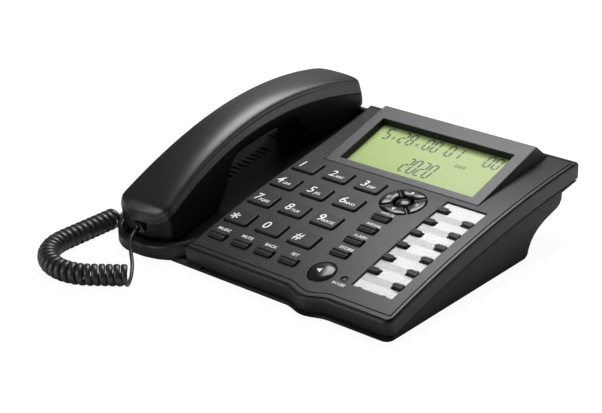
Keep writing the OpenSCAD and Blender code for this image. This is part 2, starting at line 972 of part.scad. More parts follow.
function spline(a, b, c, d, t) = 0.5 * (2 * b + (c - a) * t + (2 * a - 5 * b + 4 * c - d) * t * t
    + (3 * b - a - 3 * c + d) * t * t * t);

// Line the coil is wound about: a straight lead, a wide turn and a straight run
function turn_point(a) = [turn_at[0] + turn_r * cos(a), turn_at[1] + turn_r * sin(a), coil_z];

function turn_dir(a) = [sin(a), -cos(a), 0];

function axis_angle(f) = let(d = min(max(f * coil_l - lead_l, 0), turn_l)) turn_from - d / turn_r * 180 / PI;

function axis_dir(f) = turn_dir(axis_angle(f));

function axis_point(f) = turn_point(axis_angle(f))
    + (min(f * coil_l - lead_l, 0) + max(f * coil_l - lead_l - turn_l, 0)) * axis_dir(f);

function coil_point(f) = let(p = axis_point(f), d = axis_dir(f), a = 360 * curls * f)
    [p[0] - d[1] * coil_r * sin(a), p[1] + d[0] * coil_r * sin(a), p[2] - coil_r * cos(a)];

coil_line = [for (i = [0 : curls * rings_per_curl]) coil_point(i / (curls * rings_per_curl))];
coil_last = coil_line[len(coil_line) - 1];

function tail_line(knots, steps) = let(m = len(knots) - 1)
    [for (i = [0 : m - 1], s = [0 : steps - 1]) spline(
        knots[max(i - 1, 0)], knots[i], knots[i + 1], knots[min(i + 2, m)], s / steps)];

front_knots = concat([plug_out_end], tail_a, [coil_line[0]]);
back_knots = concat([coil_last], tail_b, [base_end - [cord_d + 1, 0, 0]]);
cord_line = concat([plug_end], tail_line(front_knots, 3), coil_line,
    [for (i = [1 : 3 * (len(back_knots) - 1) - 1]) tail_line(back_knots, 3)[i]],
    [base_end - [cord_d + 1, 0, 0], base_end]);

cord_n = len(cord_line);

// Direction of the cord at a point, square to the plugs at both ends
function cord_dir(i) = let(d = i == 0 ? plug_out_end - plug_end : i == cord_n - 1 ? [1, 0, 0] :
    cord_line[i + 1] - cord_line[i - 1]) d / norm(d);

function across(d) = let(c = abs(d[2]) > 0.9 ? cross(d, [1, 0, 0]) : cross(d, [0, 0, 1])) c / norm(c);

function turned(v, d) = let(w = v - (v * d) * d) w / norm(w);

function cord_sides(i, side) = i == cord_n ? [] :
    let(d = cord_dir(i), v = turned(side, d)) concat([v], cord_sides(i + 1, v));

cord_side = cord_sides(0, across(cord_dir(0)));

function cord_ring(i) = let(d = cord_dir(i), v = cord_side[i], w = cross(d, v))
    [for (a = [0 : 60 : 300]) cord_line[i] + cord_d / 2 * (cos(a) * v + sin(a) * w)];

cord_gap = min([for (i = [0 : cord_n - 6], j = [i + 5 : cord_n - 1])
    norm(cord_line[i] - cord_line[j])]) - cord_d;
echo(cord_gap = cord_gap, cord_length = cord_length(0));

function cord_length(i) = i >= cord_n - 1 ? 0 : norm(cord_line[i + 1] - cord_line[i]) + cord_length(i + 1);

module handset_cord() {
    color("#1a1a1b")
    skin([for (i = [0 : cord_n - 1]) cord_ring(i)]);
}

// Key with a flange under the panel and a short stem over the membrane
module key_foot(w, d, r) {
    translate([0, 0, -key_seat - flange_t])
        rounded_slab(w + 2 * flange, d + 2 * flange, r, flange_t);
    translate([0, 0, -key_seat - flange_t - stem_t])
        rounded_slab(w - 2, d - 2, 0.8, stem_t);
}

module dial_key(i, j) {
    color("#2e2e30")
    dial_spot(i, j) {
        translate([0, 0, -key_seat])
            rounded_slab(dial_w, dial_d, 1.6, key_seat + dial_rise);
        key_foot(dial_w, dial_d, 1.6);
    }
}

module bar_key(w, d, rise) {
    translate([-w / 2, 0, 0])
        rotate([90, 0, 90])
            linear_extrude(w)
                polygon([[-d / 2, -key_seat], [d / 2, -key_seat], [d / 2, rise * 0.7],
                    [d * 0.16, rise], [-d * 0.1, rise], [-d / 2, rise * 0.4]]);
    key_foot(w, d, 0.8);
}

module function_key(j) {
    color("#2e2e30")
    on_panel(function_x, function_s - function_pitch * j)
        bar_key(bar_w, bar_d, bar_rise);
}

module lower_key(i) {
    color("#2e2e30")
    on_panel(lower_x + lower_pitch * i, lower_s)
        bar_key(bar_w, bar_d, bar_rise);
}

module memory_key(i, j) {
    color("#2e2e30")
    memory_spot(i, j)
        bar_key(memory_w, memory_d, memory_rise);
}

// Quarter of the ring between two diagonal gaps
module nav_sector(outer, inner, z0, z1) {
    intersection() {
        difference() {
            translate([0, 0, z0])
                cylinder(d = outer, h = z1 - z0);
            translate([0, 0, z0 - 1])
                cylinder(d = inner, h = z1 - z0 + 2);
        }
        translate([0, 0, z0 - 1])
            linear_extrude(z1 - z0 + 2)
                polygon([[0, nav_gap * 0.707], [40, 40 + nav_gap * 0.707], [-40, 40 + nav_gap * 0.707]]);
    }
}

module nav_key(turn) {
    color("#232325")
    on_panel(nav_x, nav_s)
        rotate([0, 0, turn]) {
            nav_sector(nav_d, nav_mid_d + 2 * nav_gap, -key_seat, nav_rise);
            nav_sector(nav_d + 2 * flange, nav_mid_d + 2 * nav_gap, -key_seat - flange_t, -key_seat);
            nav_sector(nav_d - 4, nav_mid_d + 2 * nav_gap + 4, -key_seat - flange_t - stem_t,
                -key_seat - flange_t);
        }
}

module nav_up() {
    nav_key(0);
}

module nav_left() {
    nav_key(90);
}

module nav_down() {
    nav_key(180);
}

module nav_right() {
    nav_key(270);
}

module nav_centre() {
    color("#232325")
    on_panel(nav_x, nav_s) {
        translate([0, 0, -key_seat - flange_t - stem_t])
            cylinder(d = nav_mid_d, h = key_seat + flange_t + stem_t + nav_rise);
        translate([0, 0, -key_seat - flange_t])
            cylinder(d = nav_mid_d + 2 * (nav_gap - key_gap), h = flange_t);
    }
}

module speaker_key() {
    color("#1d1d1f")
    on_panel(speaker_x, speaker_s) {
        intersection() {
            translate([0, 0, -key_seat])
                cylinder(d = speaker_d, h = key_seat + speaker_rise);
            translate([0, 0, speaker_rise - speaker_dome])
                sphere(r = speaker_dome, $fn = 360);
        }
        translate([0, 0, -key_seat - flange_t])
            cylinder(d = speaker_d + 2 * flange, h = flange_t);
        translate([0, 0, -key_seat - flange_t - stem_t])
            cylinder(d = speaker_d - 4, h = stem_t);
    }
}

module key_1() {
    dial_key(0, 0);
}

module key_2() {
    dial_key(1, 0);
}

module key_3() {
    dial_key(2, 0);
}

module key_4() {
    dial_key(0, 1);
}

module key_5() {
    dial_key(1, 1);
}

module key_6() {
    dial_key(2, 1);
}

module key_7() {
    dial_key(0, 2);
}

module key_8() {
    dial_key(1, 2);
}

module key_9() {
    dial_key(2, 2);
}

module key_star() {
    dial_key(0, 3);
}

module key_0() {
    dial_key(1, 3);
}

module key_hash() {
    dial_key(2, 3);
}

top_cover();
bottom_cover();
display_bezel();
lcd_panel();
memory_card();
memory_card_cover();
indicator_led();
keypad_membrane();
main_board();
hook_switch();
hook_plunger();
loudspeaker();
base_sockets();
rubber_feet();
case_screws();
handset_top_shell();
handset_bottom_shell();
handset_capsules();
handset_jack();
cord_plug_handset();
cord_plug_base();
handset_cord();
key_1();
key_2();
key_3();
key_4();
key_5();
key_6();
key_7();
key_8();
key_9();
key_star();
key_0();
key_hash();
function_key(0);  // function_key_1
function_key(1);  // function_key_2
function_key(2);  // function_key_3
function_key(3);  // function_key_4
lower_key(0);  // lower_key_1
lower_key(1);  // lower_key_2
lower_key(2);  // lower_key_3
lower_key(3);  // lower_key_4
nav_up();
nav_down();
nav_left();
nav_right();
nav_centre();
speaker_key();
memory_key(0, 0);  // memory_key_1
memory_key(0, 1);  // memory_key_2
memory_key(0, 2);  // memory_key_3
memory_key(0, 3);  // memory_key_4
memory_key(0, 4);  // memory_key_5
memory_key(0, 5);  // memory_key_6
memory_key(1, 0);  // memory_key_7
memory_key(1, 1);  // memory_key_8
memory_key(1, 2);  // memory_key_9
memory_key(1, 3);  // memory_key_10
memory_key(1, 4);  // memory_key_11
memory_key(1, 5);  // memory_key_12
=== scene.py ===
import bpy
import math
from mathutils import Matrix, Vector


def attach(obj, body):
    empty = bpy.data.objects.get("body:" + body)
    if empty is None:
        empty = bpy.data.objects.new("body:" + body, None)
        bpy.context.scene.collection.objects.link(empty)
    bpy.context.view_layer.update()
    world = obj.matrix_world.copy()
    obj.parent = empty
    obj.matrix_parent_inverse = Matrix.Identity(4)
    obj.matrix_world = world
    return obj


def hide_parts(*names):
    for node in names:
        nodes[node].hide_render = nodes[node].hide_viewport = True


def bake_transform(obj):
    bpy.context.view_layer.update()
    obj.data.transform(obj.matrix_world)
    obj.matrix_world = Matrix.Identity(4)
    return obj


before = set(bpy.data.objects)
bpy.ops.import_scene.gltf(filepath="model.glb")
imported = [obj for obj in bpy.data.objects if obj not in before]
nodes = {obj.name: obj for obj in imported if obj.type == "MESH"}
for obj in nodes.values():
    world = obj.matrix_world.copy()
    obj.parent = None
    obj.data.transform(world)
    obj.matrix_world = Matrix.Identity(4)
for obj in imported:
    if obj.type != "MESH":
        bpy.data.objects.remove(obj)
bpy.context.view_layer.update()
mm = 0.001
print("frame loaded:", len(nodes), "nodes")


# objects and meshes

def clearSelection():
    if bpy.context.mode != "OBJECT":
        bpy.ops.object.mode_set(mode="OBJECT")
    bpy.ops.object.select_all(action="DESELECT")


def activate(obj):
    clearSelection()
    obj.select_set(True)
    bpy.context.view_layer.objects.active = obj


def editWhole(obj):
    activate(obj)
    bpy.ops.object.mode_set(mode="EDIT")
    bpy.ops.mesh.select_all(action="SELECT")


def leaveEdit():
    bpy.ops.object.mode_set(mode="OBJECT")


def linkNew(name, data):
    obj = bpy.data.objects.new(name, data)
    bpy.context.scene.collection.objects.link(obj)
    return obj


def meshPiece(name, points, faces):
    mesh = bpy.data.meshes.new(name)
    mesh.from_pydata([Vector(p) * mm for p in points], [], faces)
    return linkNew(name, mesh)


def nodeCopy(node, name):
    copy = linkNew(name, nodes[node].data.copy())
    copy.data.materials.clear()
    return copy


def faceOutward(obj):
    editWhole(obj)
    bpy.ops.mesh.normals_make_consistent(inside=False)
    leaveEdit()


def applyModifier(obj, kind, **settings):
    activate(obj)
    modifier = obj.modifiers.new(kind.title(), kind)
    for key, value in settings.items():
        setattr(modifier, key, value)
    bpy.ops.object.modifier_apply(modifier=modifier.name)


def joinPieces(pieces, name):
    activate(pieces[0])
    for piece in pieces:
        piece.select_set(True)
    if len(pieces) > 1:
        bpy.ops.object.join()
    pieces[0].name = name
    pieces[0].data.name = name
    return pieces[0]


def cutAway(obj, cutter):
    applyModifier(obj, "BOOLEAN", operation="DIFFERENCE", object=cutter, solver="EXACT")
    bpy.data.objects.remove(cutter)


def smoothShade(obj, angle, weighted=True):
    activate(obj)
    bpy.ops.object.shade_smooth_by_angle(angle=math.radians(angle))
    if weighted:
        applyModifier(obj, "WEIGHTED_NORMAL", keep_sharp=True, weight=80)


# bevel only the edges that a test picks, each by its own share of the width
def bevelEdges(obj, width, segments, share):
    mesh, name = obj.data, "bevel_weight_edge"
    weights = mesh.attributes.get(name) or mesh.attributes.new(name, "FLOAT", "EDGE")
    for edge in mesh.edges:
        a, b = (mesh.vertices[i].co / mm for i in edge.vertices)
        weights.data[edge.index].value = share(a, b)
    applyModifier(obj, "BEVEL", width=width * mm, segments=segments, limit_method="WEIGHT",
                  use_clamp_overlap=True)


# give a piece its material and body, and hide the solid that it stands for
def dress(piece, material, body, node=None):
    piece.data.materials.clear()
    piece.data.materials.append(material)
    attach(piece, body)
    if node:
        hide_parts(node)


# outlines, and the shapes that are made from them

def arcPoints(cx, cy, rx, ry, a0, a1, steps):
    angles = [math.radians(a0 + (a1 - a0) * i / steps) for i in range(steps + 1)]
    return [(cx + rx * math.cos(a), cy + ry * math.sin(a)) for a in angles]


def roundedOutline(w, d, r, steps=4):
    x, y = w / 2 - r, d / 2 - r
    corners = ((x, y, 0), (-x, y, 90), (-x, -y, 180), (x, -y, 270))
    return [p for cx, cy, start in corners for p in arcPoints(cx, cy, r, r, start, start + 90, steps)]


def circleOutline(d, steps):
    return arcPoints(0, 0, d / 2, d / 2, 0, 360, steps)[:-1]


def rectangle(x0, y0, x1, y1):
    return [(x0, y0), (x1, y0), (x1, y1), (x0, y1)]


def shiftOutline(outline, x, y):
    return [(px + x, py + y) for px, py in outline]


def level(outline, z):
    return [(x, y, z) for x, y in outline]


# a flat outline pulled up from low to high
def plate(name, outline, low, high):
    obj = meshPiece(name, level(outline, low), [list(range(len(outline)))])
    editWhole(obj)
    bpy.ops.mesh.extrude_region_move(TRANSFORM_OT_translate={"value": (0, 0, (high - low) * mm)})
    leaveEdit()
    faceOutward(obj)
    return obj


# rings with the same count of points become one closed skin
def loft(name, rings, closed=False):
    count, rows = len(rings[0]), len(rings)
    faces = []
    for j in range(rows if closed else rows - 1):
        low, high = j * count, (j + 1) % rows * count
        for i in range(count):
            k = (i + 1) % count
            faces.append([low + i, high + i, high + k, low + k])
    if not closed:
        faces += [list(range(count)), list(range((rows - 1) * count, rows * count))]
    obj = meshPiece(name, [p for ring in rings for p in ring], faces)
    faceOutward(obj)
    return obj


# colours and materials

def linear(hexValue):
    channels = [int(hexValue[i:i + 2], 16) / 255 for i in (1, 3, 5)]
    return [c / 12.92 if c <= 0.04045 else ((c + 0.055) / 1.055) ** 2.4 for c in channels] + [1.0]


def addNode(tree, kind, settings=None, links=None):
    node = tree.nodes.new(kind)
    for key, value in (settings or {}).items():
        if isinstance(key, int) or key in node.inputs:
            node.inputs[key].default_value = value
        else:
            setattr(node, key, value)
    for key, source in (links or {}).items():
        tree.links.new(source, node.inputs[key])
    return node


def startMaterial(name):
    material = bpy.data.materials.new(name)
    material.use_nodes = True
    material.node_tree.nodes.clear()
    return material, material.node_tree


plastic = {"drift": 28.0, "driftRange": (0.3, 0.7), "glossSpread": 0.05, "reliefDepth": 0.08}


# moulded plastic: fine spark grain in the gloss and bump, a slow drift of tone
def mouldedPlastic(name, dark, light, roughness, grain, bump, specular=0.5, coat=0.0):
    material, tree = startMaterial(name)
    place = addNode(tree, "ShaderNodeTexCoord").outputs["Object"]
    driftSettings = {"Scale": 1 / (plastic["drift"] * mm), "Detail": 3.0}
    drift = addNode(tree, "ShaderNodeTexNoise", driftSettings, {"Vector": place})
    tone = addNode(tree, "ShaderNodeValToRGB", links={"Fac": drift.outputs["Fac"]})
    first, last = tone.color_ramp.elements
    first.position, last.position = plastic["driftRange"]
    first.color, last.color = linear(dark), linear(light)
    speckle = addNode(tree, "ShaderNodeTexNoise", {"Scale": 1 / (grain * mm), "Detail": 4.0},
                      {"Vector": place})
    spread = plastic["glossSpread"]
    gloss = addNode(tree, "ShaderNodeMapRange", {"To Min": roughness - spread, "To Max": roughness + spread},
                    {"Value": speckle.outputs["Fac"]})
    relief = addNode(tree, "ShaderNodeBump", {"Strength": bump, "Distance": plastic["reliefDepth"] * mm},
                     {"Height": speckle.outputs["Fac"]})
    shader = addNode(tree, "ShaderNodeBsdfPrincipled",
                     {"IOR": 1.5, "Specular IOR Level": specular, "Coat Weight": coat},
                     {"Base Color": tone.outputs["Color"], "Roughness": gloss.outputs["Result"],
                      "Normal": relief.outputs["Normal"]})
    addNode(tree, "ShaderNodeOutputMaterial", links={"Surface": shader.outputs["BSDF"]})
    return material


# one even colour whose gloss wanders between two values
def evenMaterial(name, values, blotch, detail, smooth, rough):
    material, tree = startMaterial(name)
    place = addNode(tree, "ShaderNodeTexCoord").outputs["Object"]
    flow = addNode(tree, "ShaderNodeTexNoise", {"Scale": 1 / (blotch * mm), "Detail": detail},
                   {"Vector": place})
    gloss = addNode(tree, "ShaderNodeMapRange", {"To Min": smooth, "To Max": rough},
                    {"Value": flow.outputs["Fac"]})
    shader = addNode(tree, "ShaderNodeBsdfPrincipled", values, {"Roughness": gloss.outputs["Result"]})
    addNode(tree, "ShaderNodeOutputMaterial", links={"Surface": shader.outputs["BSDF"]})
    return material


# ABS with a matt spark-eroded skin: charcoal that greys where it faces the light
casingAbs = mouldedPlastic("abs charcoal, fine grain", "#1c1c1d", "#212122", 0.4, 0.5, 0.45, 0.32)
# the cradle floor: the cover's ABS made near black, painted shade for the handset's shadow over the trough
cradleShadeAbs = mouldedPlastic("abs charcoal, cradle painted shade", "#080809", "#0b0b0c", 0.46, 0.5, 0.2, 0.12)
# the lower half of the case, ABS with less gloss than the cover
lowerAbs = mouldedPlastic("abs black, fine grain", "#262627", "#2b2b2c", 0.5, 0.5, 0.25, 0.2)
# satin ABS of the display's hood, a step greyer
bezelAbs = mouldedPlastic("abs grey, satin", "#444446", "#4a4a4c", 0.42, 0.5, 0.2, 0.3)
# half-gloss ABS of the handset's back, deep black with a soft long highlight
handsetGloss = mouldedPlastic("abs black, polished", "#161617", "#1a1a1b", 0.38, 0.6, 0.12, 0.6)
# the handset's inner half, satin black
handsetSatin = mouldedPlastic("abs black, satin", "#111112", "#161617", 0.42, 0.5, 0.15, 0.2)
# key caps, close to the panel's tone with a finer skin
keyAbs = mouldedPlastic("abs key cap", "#1f1f21", "#242426", 0.4, 0.45, 0.2, 0.26)
# lacquered round keys, nearly black with sharp glints
navGloss = mouldedPlastic("abs lacquered black", "#19191a", "#1e1e1f", 0.2, 1.0, 0.03, 0.4)
# shadowed frame round the display
surroundAbs = mouldedPlastic("abs black, display frame", "#131314", "#171718", 0.5, 0.5, 0.15, 0.3)
# soft PVC of the cord, an even low sheen
cordPvc = mouldedPlastic("pvc cord jacket", "#262627", "#2c2c2d", 0.36, 0.6, 0.1)
# rubber of the feet
footRubber = mouldedPlastic("rubber, moulded", "#151515", "#1a1a1a", 0.75, 0.6, 0.4, 0.3)
# silicone of the key mat
matSilicone = mouldedPlastic("silicone mat", "#3a3a3c", "#424244", 0.6, 0.8, 0.2)
# glass-fibre board with green solder mask
boardFibre = mouldedPlastic("glass fibre board", "#244a2e", "#2f5d3a", 0.4, 1.5, 0.2)
# nylon of switch and socket housings
housingNylon = mouldedPlastic("nylon housing", "#161617", "#1c1c1e", 0.5, 0.6, 0.2)
# paper cones of the inner loudspeaker and the handset's capsules
conePaper = mouldedPlastic("paper cone", "#38383b", "#46464a", 0.7, 0.9, 0.5)
# white pad print of digits and words
printInk = mouldedPlastic("pad print white", "#e4e4e4", "#efefef", 0.55, 0.4, 0.1)
# grey pad print of the bars on the ring keys
printGrey = mouldedPlastic("pad print grey", "#b4b4b4", "#c2c2c2", 0.5, 0.4, 0.1)
# dark liquid-crystal segments
segmentInk = mouldedPlastic("liquid crystal segment", "#2b3420", "#333d26", 0.4, 0.4, 0.05)
# red lens of the lamp, dark while it is off
lampLens = mouldedPlastic("acrylic lamp lens", "#1c0f0e", "#281412", 0.15, 0.8, 0.05, coat=0.5)
# zinc-plated screws: bright grey metal with fine turning marks
screwZinc = evenMaterial("steel, zinc plated", {"Base Color": linear("#a8abae"), "Metallic": 1.0},
                         0.3, 3.0, 0.25, 0.45)
# clear polycarbonate of the plugs: colourless, with bright edges
plugClear = evenMaterial("polycarbonate, clear",
                         {"Base Color": linear("#eef2f4"), "IOR": 1.45, "Transmission Weight": 1.0},
                         6.0, 2.0, 0.05, 0.11)
# thin clear sheet: only a faint sheen over the card
coverClear = evenMaterial("pvc sheet, clear", {"Base Color": linear("#f4f6f7"), "IOR": 1.45, "Alpha": 0.06},
                          9.0, 2.0, 0.08, 0.16)


# the curved key panel: x across, s along the slope from originY, h above the surface

panel = {"radius": 880.0, "crestY": 147.0, "originY": -1.0, "axisZ": -831.0,
         "left": -44.0, "right": 110.5, "front": -97.5, "back": 102.6, "skirt": 10.5,
         "corner": 6.0, "leastCorner": 1.2, "backCorner": 2.5, "bend": 9.5, "bendSpan": 98.0,
         "bulge": 4.0, "bulgeX": 50.5, "bulgeHalf": 16.0, "fillet": 3.0, "leftFillet": 0.4,
         "strip": 5.0, "strips": 22, "through": (-20.0, 8.0), "proud": 2.0, "cutRound": 0.3,
         "groove": (6.0, 3.4, 1.3, 4.0), "grooveWide": 0.8, "grooveDeep": 0.6,
         "lineWide": 0.8, "frontLine": (2.4, -0.5), "rightLine": (1.0, -1.2),
         "seam": 1.0, "sideSeam": 2.8, "seamEase": 12.0, "seamLap": 0.6,
         "seamOuter": (-2.0, -2.0, 12.0, -2.0), "seamInner": (3.0, 3.0, 20.0, 2.3),
         "port": (30.0, 37.8, 8.4, 7.4, 13.2), "portProud": 6.0}
slopeMid = math.asin((panel["crestY"] - panel["originY"]) / panel["radius"])


def panelPoint(x, s, h):
    a, r = slopeMid - s / panel["radius"], panel["radius"] + h
    return Vector((x, panel["crestY"] - r * math.sin(a), panel["axisZ"] + r * math.cos(a)))


def panelHeight(y, drop=0.0):
    return panel["axisZ"] + math.sqrt((panel["radius"] - drop) ** 2 - (panel["crestY"] - y) ** 2)


def alongPanel(y):
    return (slopeMid - math.asin((panel["crestY"] - y) / panel["radius"])) * panel["radius"]


def depthAt(s):
    return panel["crestY"] - panel["radius"] * math.sin(slopeMid - s / panel["radius"])


# the panel's left edge, which bends outwards behind the middle
def edgeAt(y):
    return panel["left"] - (panel["bend"] * (y / panel["bendSpan"]) ** 2 if y > 0 else 0)


# how far the front edge stands out below the hands-free key
def bulgeAt(x):
    share = (x - panel["bulgeX"]) / panel["bulgeHalf"]
    return panel["bulge"] * 0.5 * (1 + math.cos(math.pi * share)) if abs(share) < 1 else 0.0


def onPanel(x, s):
    a = slopeMid - s / panel["radius"]
    return (Matrix.Translation((0, panel["crestY"] * mm, panel["axisZ"] * mm)) @ Matrix.Rotation(a, 4, "X")
            @ Matrix.Translation((x * mm, 0, panel["radius"] * mm)))


# camera at the photograph's angle

view = {"place": (562.5, -719.3, 423.5), "azimuth": 39.6, "elevation": 23.8, "lens": 94.55,
        "sensor": 36, "reach": 20}
cameraData = bpy.data.cameras.new("camera")
cameraData.lens, cameraData.sensor_width, cameraData.clip_end = view["lens"], view["sensor"], view["reach"]
camera = linkNew("camera", cameraData)
camera.location = Vector(view["place"]) * mm
camera.rotation_euler = (math.radians(90 - view["elevation"]), 0, math.radians(view["azimuth"]))
bpy.context.scene.camera = camera


# coiled cord: straight out of each plug, thirty curls between, resting on the table

tilt = math.radians(9.7)
cordFacts = {"diameter": 3.0, "thick": 2.4, "coilWide": 4.15, "snug": 0.95,
             "coilRadius": 5.6, "curls": 30, "perCurl": 24, "sides": 16, "coilZ": 7.2, "tailSteps": 8,
             "tailA": [(-77.5, -109.5, 14), (-73, -114, 9.5), (-66.5, -119.5, 5), (-59.5, -127.5, 2)],
             "turnAt": (-90.0, -125.5), "turnRadius": 30.0, "turnFrom": -53.0, "lead": 23.0, "run": 43.5,
             "tailB": [(-124.5, -81, 1.7), (-127.7, -72, 2.2), (-126.8, -56, 4.4), (-123, -44, 6.6)]}
plugFacts = {"wide": 5.8, "deep": 4.8, "long": 13.0, "back": 9.0, "mid": 3.5, "edge": 0.35,
             "latch": (-1.3, -2.0, 1.3, 4.0), "latchZ": (5.92, 6.6), "latchEdge": 0.25,
             "out": 4.0, "gap": 0.3, "jack": (-80.0, -91.4, 34.0), "socket": (-109.3, -40.0, 7.1)}


# a point of the handset's own frame, which lies along the cradle floor
def handsetPoint(x, u, v):
    c, s = math.cos(tilt), math.sin(tilt)
    return Vector((x, u * c - v * s, u * s + v * c))


def spline(a, b, c, d, t):
    square, cube = 2 * a - 5 * b + 4 * c - d, 3 * b - a - 3 * c + d
    return 0.5 * (2 * b + (c - a) * t + square * t * t + cube * t ** 3)


def tailPoints(first, knots, last):
    points, steps = [first] + [Vector(p) for p in knots] + [last], cordFacts["tailSteps"]
    end = len(points) - 1
    return [spline(points[max(i - 1, 0)], points[i], points[i + 1], points[min(i + 2, end)], k / steps)
            for i in range(end) for k in range(steps)] + [last]


# the curls' points, and the coil's own direction at each
def coilPoints():
    f = cordFacts
    turnLength = f["turnRadius"] * math.radians(180 + f["turnFrom"])
    coilLength = f["lead"] + turnLength + f["run"]
    coil, axes = [], []
    total = f["curls"] * f["perCurl"]
    for i in range(total + 1):
        gone = coilLength * i / total - f["lead"]
        a = math.radians(f["turnFrom"]) - min(max(gone, 0), turnLength) / f["turnRadius"]
        direction = Vector((math.sin(a), -math.cos(a), 0))
        middle = Vector((*f["turnAt"], f["coilZ"])) + f["turnRadius"] * Vector((math.cos(a), math.sin(a), 0))
        middle += (min(gone, 0) + max(gone - turnLength, 0)) * direction
        w = 2 * math.pi * i / f["perCurl"]
        across = Vector((-direction.y * math.sin(w), direction.x * math.sin(w), -math.cos(w)))
        coil.append(middle + f["coilRadius"] * across)
        axes.append(direction)
    return coil, axes


# the cord's width in the curls: flat, and never wider than the room to the next curl
def coilWidths(coil):
    f, last = cordFacts, len(coil) - 1
    widths = []
    for i, p in enumerate(coil):
        other = i + f["perCurl"] if i + f["perCurl"] <= last else i - f["perCurl"]
        room = (coil[other] - p).length
        eased = min(2 * min(i, last - i) / f["perCurl"], 1)
        widths.append(f["thick"] + eased * (min(f["coilWide"], f["snug"] * room) - f["thick"]))
    return widths


# the whole route, the way across the cord at each point and its width there: the leads are round
def cordRoute():
    f, p = cordFacts, plugFacts
    coil, axes = coilPoints()
    x, mouth, v = p["jack"]
    leave = mouth - p["out"] - p["gap"]
    start, out = handsetPoint(x, leave, v), handsetPoint(x, leave - f["diameter"], v)
    end = Vector(p["socket"]) - Vector((p["out"], 0, 0))
    front = tailPoints(out, f["tailA"], coil[0])
    back = tailPoints(coil[-1], f["tailB"], end - Vector((f["diameter"] + 1, 0, 0)))
    axes = [axes[0]] * len(front) + axes + [None] * len(back)
    widths = [f["thick"]] * len(front) + coilWidths(coil) + [f["thick"]] * len(back)
    return [start] + front[:-1] + coil + back[1:] + [end], axes, widths


# where no way across is given, the last one is carried along
def cordTube(name, route, axes, widths):
    rings, side, last = [], None, len(route) - 1
    section = circleOutline(1, cordFacts["sides"])
    for i, p in enumerate(route):
        d = (route[min(i + 1, last)] - route[max(i - 1, 0)]).normalized()
        side = side if axes[i] is None else axes[i]
        side = (side - side.dot(d) * d).normalized()
        wide, deep = widths[i] * side, cordFacts["thick"] * d.cross(side)
        rings.append([p + x * wide + y * deep for x, y in section])
    return loft(name, rings)


route, cordAxes, cordWidths = cordRoute()
cord = cordTube("coiled_cord", route, cordAxes, cordWidths)
smoothShade(cord, 60, False)
cord.data.materials.append(cordPvc)
cordLength = sum((b - a).length for a, b in zip(route, route[1:]))
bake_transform(cord)
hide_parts("handset_cord")
print("cord:", round(cordLength), "mm")


# plugs: clear bodies with a latch tab

def clearPlug(name, matrix):
    p = plugFacts
    clearSelection()
    bpy.ops.mesh.primitive_cube_add(size=1, location=(0, (p["long"] / 2 - p["back"]) * mm, p["mid"] * mm))
    body = bpy.context.object
    body.scale = (p["wide"] * mm, p["long"] * mm, p["deep"] * mm)
    bpy.ops.object.transform_apply(location=True, rotation=True, scale=True)
    applyModifier(body, "BEVEL", width=p["edge"] * mm, segments=2, limit_method="ANGLE")
    latch = plate("latch", rectangle(*p["latch"]), *p["latchZ"])
    applyModifier(latch, "BEVEL", width=p["latchEdge"] * mm, segments=2, limit_method="ANGLE")
    plug = joinPieces([body, latch], name)
    plug.data.transform(matrix)
    smoothShade(plug, 35)
    return plug


def jackPlace(x, y, z, turn):
    return Matrix.Translation((x * mm, y * mm, (z - plugFacts["mid"]) * mm)) @ Matrix.Rotation(turn, 4, "Z")


handsetJack = Matrix.Rotation(tilt, 4, "X") @ jackPlace(*plugFacts["jack"], math.pi)
plugHandset = clearPlug("plug_handset", handsetJack)
dress(plugHandset, plugClear, "handset", "cord_plug_handset")
plugBase = clearPlug("plug_base", jackPlace(*plugFacts["socket"], math.pi / 2))
dress(plugBase, plugClear, "base", "cord_plug_base")
[p * mm for p in route]
print("plugs made")


# key layout, shared by the holes, the caps and the print

layout = {"dialX": -31.3, "dialS": 6.75, "dialStepX": 25.2, "dialStepS": 22.05, "dialSize": (18.2, 13.5),
          "dialRise": 1.4, "dialRound": 1.6, "dialTaper": (0.955, 0.94), "dialEdge": 0.7, "dialHole": 2.1,
          "barSize": (12.4, 6.2), "barRise": 2.1, "barCut": 0.7, "barHole": 1.3,
          "functionX": 47.0, "functionS": -19.5, "functionStep": 13.55,
          "lowerX": -32.15, "lowerS": -80.1, "lowerStep": 18.6,
          "memorySize": (7.4, 4.6), "memoryRise": 0.8, "memoryCuts": (0.3, 1.7),
          "memoryX": 74.4, "memoryStepX": 21.3, "memoryS": 6.7, "memoryStep": 14.0, "memoryStagger": -6.3,
          "nav": (47.44, 2.2), "navSize": 29.2, "navMid": 9.8, "navGap": 1.8, "navRise": 0.9,
          "navWeb": 0.7, "webLap": 0.2, "webZ": (-2.0, -0.25),
          "speaker": (48.0, -79.0), "speakerSize": 17.4, "speakerRise": 1.6, "speakerOval": (0.945, 1.05),
          "lamp": (63.8, -78.4), "lampHole": 5.0, "gap": 0.5, "capFoot": -3.0,
          "card": (84.95, -32.15), "cardSize": (28.5, 96.5), "cardGap": 0.3, "cardRound": 0.5,
          "cardDepth": 1.6, "cardCut": 3.0, "sheetUnder": 1.2, "sheetLift": 0.15,
          "lug": (2.6, 1.0), "lugAt": 0.3, "lugRound": 0.4, "lugZ": (-0.85, -0.3)}
dialNames = ["key_" + key for key in ("1", "2", "3", "4", "5", "6", "7", "8", "9", "star", "0", "hash")]
dialSpots = [(layout["dialX"] + layout["dialStepX"] * (i % 3),
              layout["dialS"] - layout["dialStepS"] * (i // 3))
             for i in range(12)]
functionSpots = [(layout["functionX"], layout["functionS"] - layout["functionStep"] * i) for i in range(4)]
lowerSpots = [(layout["lowerX"] + layout["lowerStep"] * i, layout["lowerS"]) for i in range(4)]
memorySpots = [(layout["memoryX"] + layout["memoryStepX"] * i,
                layout["memoryS"] + layout["memoryStagger"] * i - layout["memoryStep"] * j)
               for i in range(2) for j in range(6)]


# panel cover, modelled flat and then wrapped on to the panel's curve

